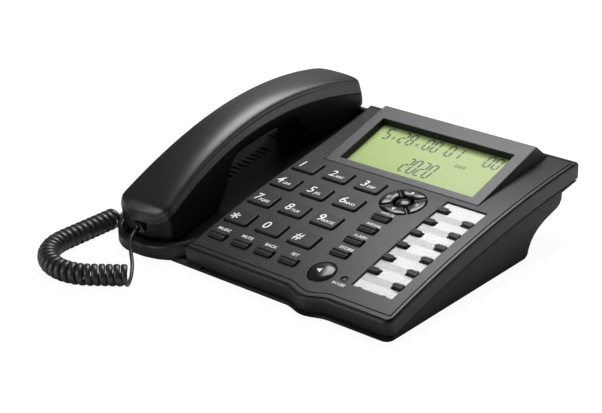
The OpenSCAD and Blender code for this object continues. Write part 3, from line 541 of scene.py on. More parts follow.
# the cover's outline, drawn in by a distance on each side
def blockOutline(front, right, left, back):
    sFront, sBack = alongPanel(panel["front"]), alongPanel(panel["back"])
    across = [panel["bulgeX"] + panel["bulgeHalf"] * (i / 20 - 1) for i in range(41)]
    points = [(x, sFront + front - bulgeAt(x)) for x in across]
    r = max(panel["leastCorner"], panel["corner"] - max(front, right))
    points += arcPoints(panel["right"] - right - r, sFront + front + r, r, r, -90, 0, 8)
    r = panel["backCorner"]
    points += arcPoints(panel["right"] - right - r, sBack - back - r, r, r, 0, 90, 4)
    along = [(sBack - back) * (1 - i / 14) for i in range(15)]
    points += [(edgeAt(depthAt(s)) + left, s) for s in along]
    return points + [(panel["left"] + left, sFront + front)]


def wrapOnPanel(obj):
    editWhole(obj)
    for i in range(-panel["strips"], panel["strips"] + 1):
        bpy.ops.mesh.select_all(action="SELECT")
        bpy.ops.mesh.bisect(plane_co=(0, i * panel["strip"] * mm, 0), plane_no=(0, 1, 0))
    bpy.ops.mesh.select_all(action="SELECT")
    bpy.ops.mesh.remove_doubles(threshold=0.0000005)
    leaveEdit()
    for vertex in obj.data.vertices:
        vertex.co = panelPoint(*(vertex.co / mm)) * mm


def keyHoles():
    g = 2 * layout["gap"]
    kinds = [(dialSpots, layout["dialSize"], layout["dialHole"]),
             (functionSpots + lowerSpots, layout["barSize"], layout["barHole"]),
             (memorySpots, layout["memorySize"], layout["barHole"])]
    holes = [(spot, roundedOutline(w + g, d + g, r)) for spots, (w, d), r in kinds for spot in spots]
    wide, deep = layout["speakerOval"]
    oval = [(x * wide, y * deep) for x, y in circleOutline(layout["speakerSize"] + g, 60)]
    holes += [(layout["nav"], circleOutline(layout["navSize"] + g, 72)), (layout["speaker"], oval),
              (layout["lamp"], circleOutline(layout["lampHole"], 28))]
    plates = [plate("hole", shiftOutline(outline, *spot), *panel["through"]) for spot, outline in holes]
    return joinPieces(plates, "holes")


# small lugs at both ends of the recess that hold the clear cover down
def cardLugs():
    (w, d), gap = layout["lug"], layout["cardGap"]
    x, mid = layout["card"]
    side, reach = layout["cardSize"][0] * layout["lugAt"], layout["cardSize"][1] / 2 - d / 2 + 2 * gap
    outline = roundedOutline(w, d + 2 * gap, layout["lugRound"])
    return [plate("lug", shiftOutline(outline, x + i * side, mid + j * reach), *layout["lugZ"])
            for i in (-1, 1) for j in (-1, 1)]


# narrow webs of the panel between the four ring keys
def ringWebs():
    half, inner = layout["navWeb"] / 2, layout["navMid"] / 2 + layout["navGap"]
    outer = layout["navSize"] / 2 + layout["gap"] + layout["webLap"]
    webs = []
    for turn in (45, 135, 225, 315):
        c, s = math.cos(math.radians(turn)), math.sin(math.radians(turn))
        outline = [(r * c - side * s, r * s + side * c) for r, side in rectangle(inner, -half, outer, half)]
        webs.append(plate("web", shiftOutline(outline, *layout["nav"]), *layout["webZ"]))
    return webs


# groove that runs round the panel inside its edge
def panelGroove():
    half, deep, proud = panel["grooveWide"] / 2, -panel["grooveDeep"], panel["proud"]
    outer = blockOutline(*(inset - half for inset in panel["groove"]))
    inner = blockOutline(*(inset + half for inset in panel["groove"]))
    rings = [level(outer, proud), level(outer, deep), level(inner, deep), level(inner, proud)]
    return loft("groove", rings, closed=True)


# shallow second line outside the groove, along the front and round the corner to the right edge
def edgeLine():
    sFront, sBack = alongPanel(panel["front"]), alongPanel(panel["back"])
    r, half, proud = panel["corner"], panel["lineWide"] / 2, panel["proud"]
    (front, frontLow), (right, rightLow) = panel["frontLine"], panel["rightLine"]
    first, last = panel["left"] - 1, panel["right"] - r
    across = [first + (last - first) * i / 80 for i in range(81)]
    path = [(x, sFront + front - bulgeAt(x), 0, 1, frontLow) for x in across]
    for i in range(1, 9):
        a, share = math.radians(-90 + 90 * i / 8), i / 8
        c, s = math.cos(a), math.sin(a)
        reach, low = r - front - (right - front) * share, frontLow + (rightLow - frontLow) * share
        path.append((last + reach * c, sFront + r + reach * s, -c, -s, low))
    span = sBack - sFront - 2 * r
    path += [(panel["right"] - right, sFront + r + span * i / 40, -1, 0, rightLow) for i in range(1, 41)]
    rings = []
    for x, y, dx, dy, low in path:
        near, far = (x + dx * half, y + dy * half), (x - dx * half, y - dy * half)
        rings.append([(*near, low), (*far, low), (*far, proud), (*near, proud)])
    return loft("edge_line", rings)


# opening in the back wall for the line socket
def linePort():
    x, z, wide, high, deep = panel["port"]
    proud = panel["portProud"]
    outline = roundedOutline(wide, deep + proud, panel["cutRound"])
    return plate("port", shiftOutline(outline, x, panel["back"] + (proud - deep) / 2), z, z + high)


def cardRecess():
    w, d = (size + 2 * layout["cardGap"] for size in layout["cardSize"])
    outline = shiftOutline(roundedOutline(w, d, layout["cardRound"]), *layout["card"])
    return plate("recess", outline, -layout["cardDepth"], layout["cardCut"])


bezel = {"x": 30.25, "wide": 119.5, "front": 19.3, "back": 84.2, "foot": 98.8, "top": 58.2, "seat": 1.0,
         "window": (102.6, 48.5), "windowFront": 6.2, "windowRound": 0.8, "windowCut": (-30.0, 20.0),
         "depth": 5.2, "surround": 3.5, "flange": 1.2, "frameTop": -0.5, "gap": 0.6, "sink": 0.05, "lip": 0.2,
         "round": 1.6, "opening": (110.2, 56.2), "openingMid": 31.1}


# shallow seat of the display's hood, and the opening under its window
def bezelCuts():
    sFront, sFoot = alongPanel(bezel["front"]), alongPanel(bezel["foot"])
    seat = roundedOutline(bezel["wide"], sFoot - sFront, panel["cutRound"])
    opening = roundedOutline(*bezel["opening"], panel["cutRound"])
    low, high = panel["through"]
    return [plate("seat", shiftOutline(seat, bezel["x"], (sFront + sFoot) / 2), -bezel["seat"], high),
            plate("opening", shiftOutline(opening, bezel["x"], sFront + bezel["openingMid"]), low, high)]


def panelCover():
    block = plate("panel_cover", blockOutline(0, 0, 0, 0), -panel["skirt"], 0)

    def share(a, b):
        if min(a.z, b.z) < -1e-4:
            return 0.0
        onLeft = max(a.x, b.x) < panel["left"] + 1 and abs(a.y - b.y) > 1
        return panel["leftFillet"] if onLeft else 1.0
    bevelEdges(block, panel["fillet"], 6, share)
    for cutter in [panelGroove(), edgeLine(), cardRecess()] + bezelCuts() + [keyHoles()]:
        cutAway(block, cutter)
    block = joinPieces([block] + cardLugs() + ringWebs(), "panel_cover")
    wrapOnPanel(block)
    cutAway(block, linePort())
    smoothShade(block, 30)
    return block


cover = panelCover()
dress(cover, casingAbs, "base", "top_cover")
print("panel cover:", len(cover.data.polygons), "faces")


# cradle: outer wall, rounded ledge and trough walls, then the floor with its grille

cradle = {"left": -110.5, "nose": -103.2, "noseCorner": 26.0, "noseRadius": 34.0, "drop": 3.0,
          "ledgeFillet": 1.8, "lipFillet": 1.2, "outerLap": 3.4, "ledgeLap": 3.2, "innerLap": 2.8,
          "shell": 2.2, "tubLeft": -103.5, "tubFront": -97.7, "tubBack": 97.5, "tubCorner": 12.0,
          "tubLap": 0.3, "tubWall": 1.6, "floor": 24.35, "floorLap": 0.8,
          "wall": 1.8, "backCorner": 3.0, "leastCorner": 0.6,
          "grille": (-87.0, -11.0, 24.0), "slotRows": [(0, 10, 9.0, 0.0), (12.4, 3, 7.0, -7.5)],
          "slotStep": 4.8, "slotWide": 2.0, "slotRound": 0.95, "slotCut": 6.0,
          "hook": (-80.0, 60.0, 10.0, 6.0), "hookGap": 1.0, "hookRound": 1.5}


def floorHeight(y):
    return cradle["floor"] + y * math.tan(tilt)


# the outline of the cradle or of its trough, drawn in by inset and lapping under the panel's left edge
def cradleLoop(inset, lap, tub):
    c = cradle
    left, front = (c["tubLeft"], c["tubFront"]) if tub else (c["left"], c["nose"])
    back, corner = (c["tubBack"], c["tubCorner"]) if tub else (panel["back"], c["noseCorner"])
    left, front, back, corner = left + inset, front + inset, back - inset, corner - inset
    r = max(c["backCorner"] - inset, c["leastCorner"])
    turnX, turnY = c["left"] + c["noseRadius"], c["nose"] + c["noseRadius"]
    points = arcPoints(left + r, back - r, r, r, 90, 180, 5)
    y0, y1 = back - r, front + corner
    points += [(left, y0 + (y1 - y0) * i / 40) for i in range(1, 40)]
    points += arcPoints(left + corner, front + corner, corner, corner, 180, 270, 14)
    points += arcPoints(turnX, turnY, panel["left"] + lap - turnX, turnY - front, 270, 360, 20)
    along = [turnY + (back - turnY) * i / 30 for i in range(1, 31)]
    return points + [(edgeAt(y) + lap, y) for y in along]


def rimRing(inset, lap, tub, drop):
    return [(x, y, panelHeight(y, drop)) for x, y in cradleLoop(inset, lap, tub)]


def footRing(inset, lap):
    return [(x, y, floorHeight(y) - 1) for x, y in cradleLoop(inset, lap, True)]


def cradleRim():
    c = cradle
    drop, ledge, lip, shell = c["drop"], c["ledgeFillet"], c["lipFillet"], c["shell"]
    rings = [rimRing(0, c["outerLap"], False, low) for low in (panel["skirt"], drop + ledge)]
    angles = [math.radians(22.5 * i) for i in range(5)]
    for a in angles[1:]:
        inset = ledge * (1 - math.cos(a))
        rings.append(rimRing(inset, c["ledgeLap"], False, drop + ledge * (1 - math.sin(a))))
    for a in angles:
        inset = -lip * (1 - math.sin(a))
        rings.append(rimRing(inset, c["tubLap"] - inset, True, drop + lip * (1 - math.cos(a))))
    outside = (-c["tubWall"], c["tubLap"] + c["tubWall"])
    rings += [footRing(0, c["tubLap"]), footRing(*outside), rimRing(*outside, True, drop + shell)]
    rings += [rimRing(shell, c["innerLap"], False, low) for low in (drop + shell, panel["skirt"])]
    rim = loft("cradle_rim", rings, closed=True)
    smoothShade(rim, 30)
    return rim


def cradleFloor():
    c = cradle
    plan = plate("cradle_floor", cradleLoop(-c["floorLap"], c["tubLap"] + c["floorLap"], True), -c["wall"], 0)
    gx, gu, gv = c["grille"]
    cuts = []
    for first, count, wide, shift in c["slotRows"]:
        outline = roundedOutline(wide, c["slotWide"], c["slotRound"], 3)
        for i in range(count):
            y = handsetPoint(0, gu + c["slotStep"] * (first + i), gv).y
            cuts.append(shiftOutline(outline, gx + shift, y))
    x, y, w, d = c["hook"]
    cuts.append(shiftOutline(roundedOutline(w + c["hookGap"], d + c["hookGap"], c["hookRound"]), x, y))
    cutAway(plan, joinPieces([plate("slot", cut, -c["slotCut"], c["slotCut"]) for cut in cuts], "slots"))
    for vertex in plan.data.vertices:
        vertex.co.z += floorHeight(vertex.co.y / mm) * mm
    smoothShade(plan, 30)
    return plan


# the floor gets the near-black copy of the cover's ABS, which is painted shade; the rim keeps the cover's own
# ABS
for piece, skin in ((cradleRim(), casingAbs), (cradleFloor(), cradleShadeAbs)):
    dress(piece, skin, "base", "top_cover")
print("cradle made")


# lower casing: the solid's own faces, merged, with a shadow gap below the cover

# the gap is taller on the right side, where the cover hangs over it
def seamCutter():
    top, deeper = panel["seamLap"] - panel["skirt"], panel["sideSeam"] - panel["seam"]

    def low(x):
        share = min(max((x - panel["right"]) / panel["seamEase"] + 1, 0), 1)
        return -panel["skirt"] - panel["seam"] - deeper * share
    outer, inner = blockOutline(*panel["seamOuter"]), blockOutline(*panel["seamInner"])
    floors = [[(x, y, low(x)) for x, y in loop] for loop in (outer, inner)]
    cutter = loft("seam", [level(outer, top), *floors, level(inner, top)], closed=True)
    wrapOnPanel(cutter)
    faceOutward(cutter)
    return cutter


def lowerCasing():
    case = nodeCopy("bottom_cover", "lower_casing")
    editWhole(case)
    bpy.ops.mesh.remove_doubles(threshold=0.00001)
    bpy.ops.mesh.dissolve_limited(angle_limit=math.radians(0.6))
    leaveEdit()
    smoothShade(case, 32)
    cutAway(case, seamCutter())
    smoothShade(case, 32)
    return case


dress(lowerCasing(), lowerAbs, "base", "bottom_cover")
print("lower casing made")


# display: grey hood, black frame inside its window, green glass with slanted segments

bezelTilt = math.atan2(bezel["top"] - panelHeight(bezel["front"]), bezel["back"] - bezel["front"])
bezelFoot = Vector((bezel["x"], bezel["front"], panelHeight(bezel["front"]))) * mm
bezelPlace = Matrix.Translation(bezelFoot) @ Matrix.Rotation(bezelTilt, 4, "X")
sideways = Matrix(((0, 0, 1, 0), (1, 0, 0, 0), (0, 1, 0, 0), (0, 0, 0, 1)))


# an outline that grows the window by some millimetres
def windowOutline(more, r):
    w, d = bezel["window"]
    return shiftOutline(roundedOutline(w + more, d + more, r), 0, bezel["windowFront"] + d / 2)


def displayHood():
    b = bezel
    zFront, zFoot = panelHeight(b["front"]), panelHeight(b["foot"])
    front, foot, sunk = b["front"] + b["gap"], b["foot"] - b["gap"], b["sink"] - b["seat"]
    profile = [(front, zFront + sunk), (front, zFront + b["lip"]), (b["back"], b["top"]), (foot, zFoot),
               (foot, zFoot + sunk)]
    half = b["wide"] / 2 - b["gap"]
    hood = plate("display_hood", profile, -half, half)
    hood.data.transform(Matrix.Translation((b["x"] * mm, 0, 0)) @ sideways)
    faceOutward(hood)
    window = plate("window", windowOutline(0, b["windowRound"]), *b["windowCut"])
    window.data.transform(bezelPlace)
    applyModifier(hood, "BEVEL", width=b["round"] * mm, segments=4, limit_method="ANGLE",
                  angle_limit=math.radians(12))
    cutAway(hood, window)
    smoothShade(hood, 30)
    return hood


def displayFrame():
    top, low, wide = bezel["frameTop"], -bezel["depth"], 2 * bezel["surround"]
    step = low + bezel["flange"]
    loops = [(-0.4, 0.7, top), (-1.0, 0.6, low), (wide, 0.6, low), (wide, 0.6, step), (0.2, 0.7, step),
             (0.2, 0.7, top)]
    rim = loft("display_frame", [level(windowOutline(more, r), z) for more, r, z in loops], closed=True)
    rim.data.transform(bezelPlace)
    faceOutward(rim)
    smoothShade(rim, 30)
    return rim


for piece, skin in ((displayHood(), bezelAbs), (displayFrame(), surroundAbs)):
    dress(piece, skin, "base", "display_bezel")


# reflective liquid-crystal display: lime green with a faint grain, brightened by a weak emission that is
# painted glow
def displayGreen():
    material, tree = startMaterial("liquid crystal, lime")
    place = addNode(tree, "ShaderNodeTexCoord").outputs["Object"]
    grain = addNode(tree, "ShaderNodeTexNoise", {"Scale": 1 / (1.2 * mm), "Detail": 3.0}, {"Vector": place})
    tone = addNode(tree, "ShaderNodeValToRGB", links={"Fac": grain.outputs["Fac"]})
    first, last = tone.color_ramp.elements
    first.position, last.position = 0.35, 0.65
    first.color, last.color = linear("#9ab070"), linear("#a6b979")
    # the Emission Strength of 0.08 is painted glow over the green
    shader = addNode(tree, "ShaderNodeBsdfPrincipled",
                     {"Roughness": 0.3, "IOR": 1.45, "Specular IOR Level": 0.2, "Emission Strength": 0.08},
                     {"Base Color": tone.outputs["Color"], "Emission Color": tone.outputs["Color"]})
    addNode(tree, "ShaderNodeOutputMaterial", links={"Surface": shader.outputs["BSDF"]})
    return material


# flat marks cut from outlines, laid at a height above the place that carries them
def inkMarks(name, shapes, heightAt, place, material, body):
    points, faces = [], []
    for shape in shapes:
        faces.append([len(points) + i for i in range(len(shape))])
        points += [(x, y, heightAt(x, y)) for x, y in shape]
    mark = meshPiece(name, points, faces)
    applyModifier(mark, "SOLIDIFY", thickness=0.04 * mm, offset=0)
    faceOutward(mark)
    mark.data.transform(place)
    dress(mark, material, body)


segments = {"bar": 1.3, "gap": 0.25, "lift": 0.06, "mark": 0.6, "markStep": 1.1,
            "lit": {"0": "abcdef", "1": "bc", "2": "abged", "5": "afgcd", "8": "abcdefg"},
            "top": {"size": (3.9, 11.2), "lean": 0.05, "step": 6.3,
                    "words": [("5", -42.1, 46.8), ("28", -26.6, 46.8), ("00", -7.2, 46.9), ("01", 10.1, 46.9),
                              ("00", 39.4, 47.2)]},
            "low": {"size": (3.9, 14.2), "lean": 0.12, "step": 6.0, "words": [("2020", -1.5, 22.8)]},
            "marks": [(-37.2, 42.6, 1.8), (-18.4, 42.2, 2.2), (18.4, 33.6, 2.2), (21.2, 33.6, 2.2),
                      (24.0, 33.6, 2.2)]}


# one bar of a digit, pointed at both ends
def segmentBar(a, b):
    t, d = segments["bar"] / 2, (b - a).normalized()
    n = Vector((-d.y, d.x))
    a, b = a + segments["gap"] * d, b - segments["gap"] * d
    return [a, a + t * (d + n), b + t * (n - d), b, b - t * (d + n), a + t * (d - n)]


def segmentShapes(row):
    w, h = row["size"]
    ends = {"a": (0, h, w, h), "b": (w, h, w, h / 2), "c": (w, h / 2, w, 0), "d": (0, 0, w, 0),
            "e": (0, 0, 0, h / 2), "f": (0, h / 2, 0, h), "g": (0, h / 2, w, h / 2)}
    shapes = []
    for word, x, y in row["words"]:
        for k, digit in enumerate(word):
            left = x + (k - (len(word) - 1) / 2) * row["step"] - w / 2
            for name in segments["lit"][digit]:
                bar = segmentBar(Vector(ends[name][:2]), Vector(ends[name][2:]))
                shapes.append([(left + p.x + row["lean"] * (p.y - h / 2), y - h / 2 + p.y) for p in bar])
    return shapes


displayMarks = segmentShapes(segments["top"]) + segmentShapes(segments["low"])
for x, y, wide in segments["marks"]:
    lows = [y + segments["markStep"] * k for k in range(3)]
    displayMarks += [rectangle(x, low, x + wide, low + segments["mark"]) for low in lows]
inkMarks("display_segments", displayMarks, lambda x, y: segments["lift"] - bezel["depth"], bezelPlace,
         segmentInk, "base")
print("display made")


# key caps: each kind is modelled once at the origin, then copied to its spots

def dialCap():
    w, d = layout["dialSize"]
    outline = roundedOutline(w, d, layout["dialRound"], 5)
    cap = plate("dial_cap", outline, layout["capFoot"], layout["dialRise"])
    for vertex in cap.data.vertices:
        if vertex.co.z > 0:
            vertex.co.x *= layout["dialTaper"][0]
            vertex.co.y *= layout["dialTaper"][1]
    bevelEdges(cap, layout["dialEdge"], 4, lambda a, b: 1.0 if min(a.z, b.z) > 1 else 0.0)
    smoothShade(cap, 35)
    return cap


# a bar key as shares: depth and height across it, then length and height along it
barProfile = [(-0.5, 0.42), (-0.42, 0.78), (-0.3, 0.92), (-0.16, 0.86), (-0.06, 0.66), (0.02, 0.84),
              (0.12, 1.0), (0.28, 1.0), (0.42, 0.9), (0.5, 0.6)]
barEnds = [(-0.5, 0.55), (-0.485, 0.8), (-0.45, 0.95), (-0.3, 1.0), (0.3, 1.0), (0.45, 0.95), (0.485, 0.8),
           (0.5, 0.55)]


# bar keys: two long humps with a valley between, corners cut off at the ends
def barCap(name, w, d, rise, leftCut, rightCut):
    rings, foot = [], layout["capFoot"]
    for share, low in barEnds:
        cut = max(0.0, (leftCut if share < 0 else rightCut) - (0.5 - abs(share)) * w) / (d / 2)
        x, deep = share * w, d * (1 - cut)
        hump = [(x, y * deep, z * rise * low) for y, z in barProfile]
        rings.append([(x, -deep / 2, foot)] + hump + [(x, deep / 2, foot)])
    cap = loft(name, rings)
    smoothShade(cap, 28)
    return cap


# a ring key's outline shrinks by these shares, each so far below its top
pillow = [(1, 1.3), (0.985, 0.95), (0.95, 0.62), (0.88, 0.33), (0.76, 0.14), (0.6, 0.04), (0.4, 0),
          (0.1, -0.02)]


# a quarter of the ring, pillowed towards its middle
def sectorCap():
    outer, inner = layout["navSize"] / 2, layout["navMid"] / 2 + layout["navGap"]
    outline = []
    for r, way in ((outer, 1), (inner, -1)):
        reach = way * (45 - math.degrees(math.asin(layout["navGap"] / 2 / r)))
        outline += arcPoints(0, 0, r, r, 90 + reach, 90 - reach, 20)
    mid, rise = (outer + inner) / 2, layout["navRise"]
    levels = [(1, layout["capFoot"])] + [(share, rise - drop) for share, drop in pillow]
    rings = [[(x * share, mid + (y - mid) * share, z) for x, y in outline] for share, z in levels]
    cap = loft("sector_cap", rings)
    smoothShade(cap, 50, False)
    return cap


# a round cap turned from its profile, stretched to an oval where asked
def turnedCap(name, profile, stretch=(1, 1)):
    wide, deep = stretch
    rings = [[(x * wide, y * deep, z) for x, y in circleOutline(2 * r, 64)] for r, z in profile]
    cap = loft(name, rings)
    smoothShade(cap, 40, False)
    return cap


def domeHeight(share, rise, edge, sag):
    return rise - edge * share ** 6 - sag * share * share


def domeProfile(radius, rise, edge, sag):
    shares = [math.cos(math.pi / 2 * i / 14) ** 0.5 for i in range(14)]
    skin = [(radius * share, domeHeight(share, rise, edge, sag)) for share in shares]
    return [(radius, layout["capFoot"])] + skin + [(0.1, rise)]


def placeCap(master, name, node, spot, material, turn=0.0):
    cap = linkNew(name, master.data.copy())
    cap.data.transform(onPanel(*spot) @ Matrix.Rotation(math.radians(turn), 4, "Z"))
    dress(cap, material, node + "_cap", node)


dome = {"mid": (layout["navRise"], 0.5, 1.0), "speaker": (layout["speakerRise"], 0.9, 0.9)}
dialMaster = dialCap()
barMaster = barCap("bar_cap", *layout["barSize"], layout["barRise"], layout["barCut"], layout["barCut"])
memoryMasters = [barCap("memory_cap", *layout["memorySize"], layout["memoryRise"], *cuts)
                 for cuts in (layout["memoryCuts"], layout["memoryCuts"][::-1])]
sectorMaster = sectorCap()
midMaster = turnedCap("mid_cap", domeProfile(layout["navMid"] / 2, *dome["mid"]))
speakerMaster = turnedCap("speaker_cap", domeProfile(layout["speakerSize"] / 2, *dome["speaker"]),
                          layout["speakerOval"])
for node, spot in zip(dialNames, dialSpots):
    placeCap(dialMaster, "cap_" + node, node, spot, keyAbs)
barRows = [("function", functionSpots, [barMaster] * 4), ("lower", lowerSpots, [barMaster] * 4),
           ("memory", memorySpots, [memoryMasters[i // 6] for i in range(12)])]
for kind, spots, masters in barRows:
    for i, (spot, master) in enumerate(zip(spots, masters)):
        placeCap(master, f"cap_{kind}_{i + 1}", f"{kind}_key_{i + 1}", spot, keyAbs)
for node, turn in (("nav_up", 0), ("nav_left", 90), ("nav_down", 180), ("nav_right", 270)):
    placeCap(sectorMaster, "cap_" + node, node, layout["nav"], navGloss, turn)
placeCap(midMaster, "cap_nav_centre", "nav_centre", layout["nav"], navGloss)
placeCap(speakerMaster, "cap_speaker", "speaker_key", layout["speaker"], navGloss)
for master in [dialMaster, barMaster, sectorMaster, midMaster, speakerMaster] + memoryMasters:
    bpy.data.objects.remove(master)
print("key caps made")


# printed words and signs, thin meshes that lie on what carries them

# words are given as size, x and y
signs = {"digit": (9.6, -4.5, 0.0), "star": (14.0, -4.5, -3.6), "letters": (3.3, 1.8, -1.9),
         "digitLean": 0.12, "wordLean": 0.08, "function": (3.4, 0.3, 5.5), "lower": (3.4, -0.7, 6.7),
         "lamp": (3.06, -0.3, -5.3), "thick": 0.02, "lift": 0.03, "bold": 0.008,
         "smallBold": 0.02, "boldFrom": 5.0,
         "arrow": [(-1.35, -1.1), (1.35, -1.1), (0, 1.3)], "arrowAt": 10.3, "ringLift": 0.05,
         "bars": [-1.3, -0.3, 0.7], "barHalf": 1.1, "barHigh": 0.55,
         "barsAt": {"nav_left": -10.9, "nav_right": 10.4},
         "horn": [(-2.4, -0.75), (-1.2, -0.75), (0.4, -2.1), (0.4, 2.1), (-1.2, 0.75), (-2.4, 0.75)],
         "hornAt": (-0.4, -0.6), "hornLift": 0.07}


def printed(name, words, lean, spot, lift, body):
    pieces = []
    for text, size, x, y in words:
        clearSelection()
        bpy.ops.object.text_add()
        word = bpy.context.object
        word.data.body, word.data.size = text, size * mm
        word.data.align_x, word.data.align_y = "CENTER", "CENTER"
        word.data.resolution_u, word.data.extrude, word.data.shear = 3, signs["thick"] * mm, lean
        word.data.offset = size * signs["bold" if size > signs["boldFrom"] else "smallBold"] * mm
        bpy.ops.object.convert(target="MESH")
        word = bpy.context.object
        word.data.transform(Matrix.Translation((x * mm, y * mm, lift * mm)))
        pieces.append(word)
    mark = joinPieces(pieces, name)
    mark.data.transform(onPanel(*spot))
    dress(mark, printInk, body)


dialPrint = ["1", "2 ABC", "3 DEF", "4 GHI", "5 JKL", "6 MNO", "7 PQRS", "8 TUV", "9 WXYZ", "*", "0", "#"]
for text, node, spot in zip(dialPrint, dialNames, dialSpots):
    digit, *letters = text.split()
    words = [(digit, *signs["star" if digit == "*" else "digit"])]
    words += [(word, *signs["letters"]) for word in letters]
    lift = layout["dialRise"] + signs["lift"]
    printed("print_" + node, words, signs["digitLean"], spot, lift, node + "_cap")
wordRows = [("function", functionSpots, ("HOLD", "REDIAL", "FLASH", "STORE")),
            ("lower", lowerSpots, ("MUSIC", "MUTE", "BACK", "SET"))]
for kind, spots, words in wordRows:
    for i, (word, spot) in enumerate(zip(words, spots)):
        printed(f"print_{kind}_{i + 1}", [(word, *signs[kind])], signs["wordLean"], spot, signs["lift"],
                "base")
printed("print_lamp", [("IN USE", *signs["lamp"])], signs["wordLean"], layout["lamp"], signs["lift"], "base")


def ringTop(x, y):
    return layout["navRise"] + signs["ringLift"]


def speakerTop(x, y):
    share = math.hypot(x, y) / (layout["speakerSize"] / 2)
    return domeHeight(share, *dome["speaker"]) + signs["hornLift"]


ringPlace = onPanel(*layout["nav"])
for node, way in (("nav_up", 1), ("nav_down", -1)):
    arrow = [(x * way, (signs["arrowAt"] + y) * way) for x, y in signs["arrow"]]
    inkMarks("print_" + node, [arrow], ringTop, ringPlace, printInk, node + "_cap")
for node, x in signs["barsAt"].items():
    half, high = signs["barHalf"], signs["barHigh"]
    bars = [rectangle(x - half, y, x + half, y + high) for y in signs["bars"]]
    inkMarks("print_" + node, bars, ringTop, ringPlace, printGrey, node + "_cap")
inkMarks("print_speaker", [shiftOutline(signs["horn"], *signs["hornAt"])], speakerTop,
         onPanel(*layout["speaker"]), printInk, "speaker_key_cap")
print("print made")


# carried-over solids: each gets its finish

cardPrint = {"bandHalf": (0.2, 0.23), "bandEnd": (93.5, 94.5), "fibre": 0.7, "relief": 0.02}


# label card: white paper with grey bands from the left edge to the right-hand keys
def labelPaper():
    material, tree = startMaterial("card, printed")
    place = addNode(tree, "ShaderNodeTexCoord").outputs["Object"]
    parts = addNode(tree, "ShaderNodeSeparateXYZ", links={"Vector": place})
    back = addNode(tree, "ShaderNodeMath", {"operation": "SUBTRACT", 0: panel["crestY"] * mm},
                   {1: parts.outputs["Y"]})
    share = addNode(tree, "ShaderNodeMath", {"operation": "DIVIDE", 1: panel["radius"] * mm},
                    {0: back.outputs[0]})
    angle = addNode(tree, "ShaderNodeMath", {"operation": "ARCSINE"}, {0: share.outputs[0]})
    step = layout["memoryStep"]
    start = slopeMid * panel["radius"] - (layout["memoryS"] + layout["memoryStagger"] - step / 2)
    rows = addNode(tree, "ShaderNodeMath",
                   {"operation": "MULTIPLY_ADD", 1: panel["radius"] / step, 2: -start / step},
                   {0: angle.outputs[0]})
    below = addNode(tree, "ShaderNodeMath", {"operation": "GREATER_THAN", 1: -1.0}, {0: rows.outputs[0]})
    part = addNode(tree, "ShaderNodeMath", {"operation": "FRACT"}, {0: rows.outputs[0]})
    off = addNode(tree, "ShaderNodeMath", {"operation": "SUBTRACT", 1: 0.5}, {0: part.outputs[0]})
    near = addNode(tree, "ShaderNodeMath", {"operation": "ABSOLUTE"}, {0: off.outputs[0]})
    fade = {"To Min": 1.0, "To Max": 0.0}
    low, high = cardPrint["bandHalf"]
    band = addNode(tree, "ShaderNodeMapRange", {"From Min": low, "From Max": high, **fade},
                   {"Value": near.outputs[0]})
    low, high = cardPrint["bandEnd"]
    side = addNode(tree, "ShaderNodeMapRange", {"From Min": low * mm, "From Max": high * mm, **fade},
                   {"Value": parts.outputs["X"]})
    inside = addNode(tree, "ShaderNodeMath", {"operation": "MULTIPLY"},
                     {0: below.outputs[0], 1: side.outputs["Result"]})
    grey = addNode(tree, "ShaderNodeMath", {"operation": "MULTIPLY"},
                   {0: band.outputs["Result"], 1: inside.outputs[0]})
    tone = addNode(tree, "ShaderNodeValToRGB", links={"Fac": grey.outputs[0]})
    first, last = tone.color_ramp.elements
    first.color, last.color = linear("#f2f2f2"), linear("#d2d2d2")
    fibre = addNode(tree, "ShaderNodeTexNoise", {"Scale": 1 / (cardPrint["fibre"] * mm), "Detail": 4.0},
                    {"Vector": place})
    relief = addNode(tree, "ShaderNodeBump", {"Strength": 0.1, "Distance": cardPrint["relief"] * mm},
                     {"Height": fibre.outputs["Fac"]})
    shader = addNode(tree, "ShaderNodeBsdfPrincipled", {"Roughness": 0.7, "Specular IOR Level": 0.3},
                     {"Base Color": tone.outputs["Color"], "Normal": relief.outputs["Normal"]})
    addNode(tree, "ShaderNodeOutputMaterial", links={"Surface": shader.outputs["BSDF"]})
    return material


# clear sheet, its underside a hair above the card
def cardSheet():
    sheet = nodeCopy("memory_card_cover", "card_sheet")
    for vertex in sheet.data.vertices:
        ray = Vector((0, vertex.co.y - panel["crestY"] * mm, vertex.co.z - panel["axisZ"] * mm))
        if ray.length < (panel["radius"] - layout["sheetUnder"]) * mm:
            vertex.co += ray.normalized() * layout["sheetLift"] * mm
    return sheet


dress(cardSheet(), coverClear, "base", "memory_card_cover")
finishes = {"lcd_panel": displayGreen(), "memory_card": labelPaper(), "indicator_led": lampLens,
            "keypad_membrane": matSilicone, "main_board": boardFibre, "hook_switch": housingNylon,
            "hook_plunger": handsetSatin, "loudspeaker": conePaper, "base_sockets": housingNylon,
            "rubber_feet": footRubber, "case_screws": screwZinc, "handset_capsules": conePaper,
            "handset_jack": housingNylon}
for node, finish in finishes.items():
    nodes[node].data.materials.clear()
    nodes[node].data.materials.append(finish)


# handset: two lofted halves, each ring worked out from its place t along the handset

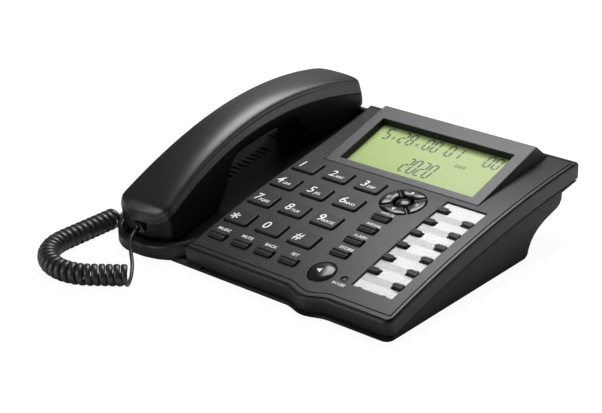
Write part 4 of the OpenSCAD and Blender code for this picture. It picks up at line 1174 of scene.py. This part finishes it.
handset = {"x": -80.0, "mid": 9.0, "half": 102.0, "crown": 16.2, "flare": 4.3, "edge": 64.9, "arch": 263.0,
           "crownRise": 6.26, "crownFall": 2.6, "crownPower": 0.8, "flarePower": 2.2,
           "step": 0.3, "stepRise": 0.05,
           "endRound": 9.0, "endPower": 2.6, "endLeast": 0.05, "endDrop": (3.4, 6.0), "rimOut": 1.6,
           "rimDrop": 3.4, "rimWiden": 4.6, "rimFrom": -20.0, "rimSpan": 120.0, "rimPower": 1.2,
           "rimEnd": (0.6, 7.0, 3.0), "grip": 11.0, "gripHalf": 26.0, "gripEase": 26.0,
           "cup": 24.35, "ledge": 28.7, "liftBack": 13.0, "liftFront": 6.0, "liftEase": 4.0, "seam": 0.12,
           "cornerFrom": 22.0, "cornerSpan": 34.0, "cupCorner": (2.5, 5.0), "gripCorner": (6.0, 4.0),
           "chamfer": (0.4, 0.5),
           "jackAt": 4.0, "jackWide": 10.4, "jackDeep": 18.0, "jackLow": 26.35, "jackHigh": 12.2,
           "endSteps": [0, 0.12, 0.4, 0.8, 1.4, 2.1, 3, 4, 5.2, 6.5, 8, 9.6, 11.5]}


def ease(a):
    c = min(max(a, 0), 1)
    return c * c * (3 - 2 * c)


def endGap(t):
    return handset["half"] - abs(t)


def endRound(t):
    share, power = max(endGap(t), 0) / handset["endRound"], handset["endPower"]
    return 1.0 if share >= 1 else max(handset["endLeast"], (1 - (1 - share) ** power) ** (1 / power))


def crownHalf(t):
    return (handset["crown"] + handset["flare"] * (abs(t) / 100) ** handset["flarePower"]) * endRound(t)


def rimHalf(t):
    return crownHalf(t) + handset["rimOut"] * endRound(t)


def edgeHeight(t):
    drop, reach = handset["endDrop"]
    return handset["edge"] - t * t / (2 * handset["arch"]) - drop * max(1 - endGap(t) / reach, 0) ** 2


# the line where the halves meet, which falls away from the crown's edge towards the back
def rimHeight(t):
    h = handset
    lower = h["rimDrop"] + h["rimWiden"] * max((t - h["rimFrom"]) / h["rimSpan"], 0) ** h["rimPower"]
    drop, reach, span = h["rimEnd"]
    return edgeHeight(t) - lower - drop * min(1.0, max(0.0, (reach - endGap(t)) / span))


# the underside: high along the grip, down at both cups, and lifted at the very ends
def underHeight(t):
    grip = rimHeight(t) - handset["grip"]
    k = ease((abs(t) - handset["gripHalf"]) / handset["gripEase"])
    reach = handset["liftBack" if t > 0 else "liftFront"]
    lift = (handset["ledge"] - handset["cup"]) * ease((reach - endGap(t)) / handset["liftEase"])
    return max(handset["cup"], grip * (1 - k) + handset["cup"] * k) + lift


def stations():
    ends = [handset["half"] - g for g in handset["endSteps"]]
    return [-t for t in ends] + [-90 + 2.5 * i for i in range(73)] + ends[::-1]


def shellLoft(name, ringAt):
    x, mid = handset["x"], handset["mid"]
    return loft(name, [[handsetPoint(x + px, mid + t, pz) for px, pz in ringAt(t)] for t in stations()])


def topRing(t):
    w, e, power = crownHalf(t), edgeHeight(t), handset["crownPower"]
    b = handset["crownRise"] - handset["crownFall"] * (t / 100) ** 2
    step, top = min(handset["step"], w * 0.1), e + handset["stepRise"]
    side = [(rimHalf(t), rimHeight(t) + handset["seam"]), (w, e), (w - step, top)]
    crown = []
    for i in range(1, 36):
        a = math.radians(180 - 5 * i)
        c, s = math.cos(a), math.sin(a)
        crown.append(((w - step) * math.copysign(abs(c) ** power, c), top + b * s ** power))
    return [(-x, z) for x, z in side] + crown + side[::-1]


def lowRing(t):
    r, m, b = rimHalf(t), rimHeight(t) - handset["seam"], underHeight(t)
    k = 1 - ease((abs(t) - handset["cornerFrom"]) / handset["cornerSpan"])
    wide, high = (cup + grip * k for cup, grip in zip(handset["cupCorner"], handset["gripCorner"]))
    c, h = min(wide, r * 0.45), min(high, (m - b) * 0.8)
    inset, drop = handset["chamfer"]
    side = [(r - min(inset, r * 0.2), m), (r, m - drop)] + arcPoints(r - c, b + h, c, h, 0, -90, 6)
    return side + [(-x, z) for x, z in reversed(side)]


def handsetBack():
    shell = shellLoft("handset_back", topRing)
    smoothShade(shell, 26, False)
    return shell


def handsetFront():
    shell = shellLoft("handset_front", lowRing)
    outline = roundedOutline(handset["jackWide"], handset["jackDeep"], panel["cutRound"])
    outline = shiftOutline(outline, handset["x"], handset["mid"] - handset["half"] + handset["jackAt"])
    jack = plate("jack", outline, handset["jackLow"], handset["jackLow"] + handset["jackHigh"])
    jack.data.transform(Matrix.Rotation(tilt, 4, "X"))
    cutAway(shell, jack)
    smoothShade(shell, 30, False)
    return shell


dress(handsetBack(), handsetGloss, "handset", "handset_top_shell")
dress(handsetFront(), handsetSatin, "handset", "handset_bottom_shell")
print("handset made")


# studio: white floor and surround, a softbox close behind and above, weak fills in front and round the sides

# lights are given as place and size in metres and power in watts
studio = {"floor": 12.0, "cloud": 1000 / 3, "worldLight": 0.0, "mirrorShare": 0.1, "glow": 1.12,
          "glowShare": 0.85, "white": (1, 1, 1, 1), "aim": (0, 0, 0.04),
          "lights": [((-0.11, 0.274, 0.619), 0.42, 5.6), ((-0.514, -1.211, 0.519), 0.7, 6.6),
                     ((0.965, 0.965, 0.36), 0.7, 2.9), ((-0.93, 0.93, 0.519), 0.7, 0.6)]}


# a mask of the rays that come straight from the eye, or through something clear
def eyeRays(tree):
    path = addNode(tree, "ShaderNodeLightPath")
    return addNode(tree, "ShaderNodeMath", {"operation": "MAXIMUM"},
                   {0: path.outputs["Is Camera Ray"], 1: path.outputs["Is Transmission Ray"]})


# painted floor: white to the eye, with the object's soft shadow
def floorPaint():
    material, tree = startMaterial("studio floor, white")
    place = addNode(tree, "ShaderNodeTexCoord").outputs["Object"]
    cloud = addNode(tree, "ShaderNodeTexNoise", {"Scale": 1 / (studio["cloud"] * mm), "Detail": 2.0},
                    {"Vector": place})
    tone = addNode(tree, "ShaderNodeValToRGB", links={"Fac": cloud.outputs["Fac"]})
    first, last = tone.color_ramp.elements
    first.color, last.color = linear("#f0f0f0"), linear("#f4f4f4")
    paint = addNode(tree, "ShaderNodeBsdfDiffuse", links={"Color": tone.outputs["Color"]})
    glow = addNode(tree, "ShaderNodeEmission", {"Color": studio["white"], "Strength": studio["glow"]})
    seen = addNode(tree, "ShaderNodeMath", {"operation": "MULTIPLY", 1: studio["glowShare"]},
                   {0: eyeRays(tree).outputs[0]})
    mix = addNode(tree, "ShaderNodeMixShader",
                  links={0: seen.outputs[0], 1: paint.outputs["BSDF"], 2: glow.outputs["Emission"]})
    addNode(tree, "ShaderNodeOutputMaterial", links={"Surface": mix.outputs["Shader"]})
    return material


# the surround: white to the eye, only faintly so in gloss
def studioWorld():
    world = bpy.data.worlds.new("studio")
    world.use_nodes = True
    tree = world.node_tree
    tree.nodes.clear()
    path = addNode(tree, "ShaderNodeLightPath")
    mirrored = addNode(tree, "ShaderNodeMath", {"operation": "MULTIPLY", 1: studio["mirrorShare"]},
                       {0: path.outputs["Is Glossy Ray"]})
    seen = addNode(tree, "ShaderNodeMath", {"operation": "MAXIMUM"},
                   {0: eyeRays(tree).outputs[0], 1: mirrored.outputs[0]})
    ambient, bright = (addNode(tree, "ShaderNodeBackground", {"Color": studio["white"], "Strength": strength})
                       for strength in (studio["worldLight"], 1.0))
    mix = addNode(tree, "ShaderNodeMixShader",
                  links={0: seen.outputs[0], 1: ambient.outputs[0], 2: bright.outputs[0]})
    addNode(tree, "ShaderNodeOutputWorld", links={"Surface": mix.outputs[0]})
    return world


clearSelection()
bpy.ops.mesh.primitive_plane_add(size=studio["floor"], location=(0, 0, 0))
floor = bpy.context.object
floor.name = "studio_floor"
floor.data.materials.append(floorPaint())
for i, (place, size, power) in enumerate(studio["lights"]):
    lamp = bpy.data.lights.new(f"softbox_{i + 1}", "AREA")
    lamp.shape, lamp.size, lamp.energy = "SQUARE", size, power
    light = linkNew(lamp.name, lamp)
    light.location = place
    light.rotation_euler = (Vector(studio["aim"]) - Vector(place)).to_track_quat("-Z", "Y").to_euler()
bpy.context.scene.world = studioWorld()
bpy.context.scene.view_settings.view_transform = "Standard"
print("studio made")
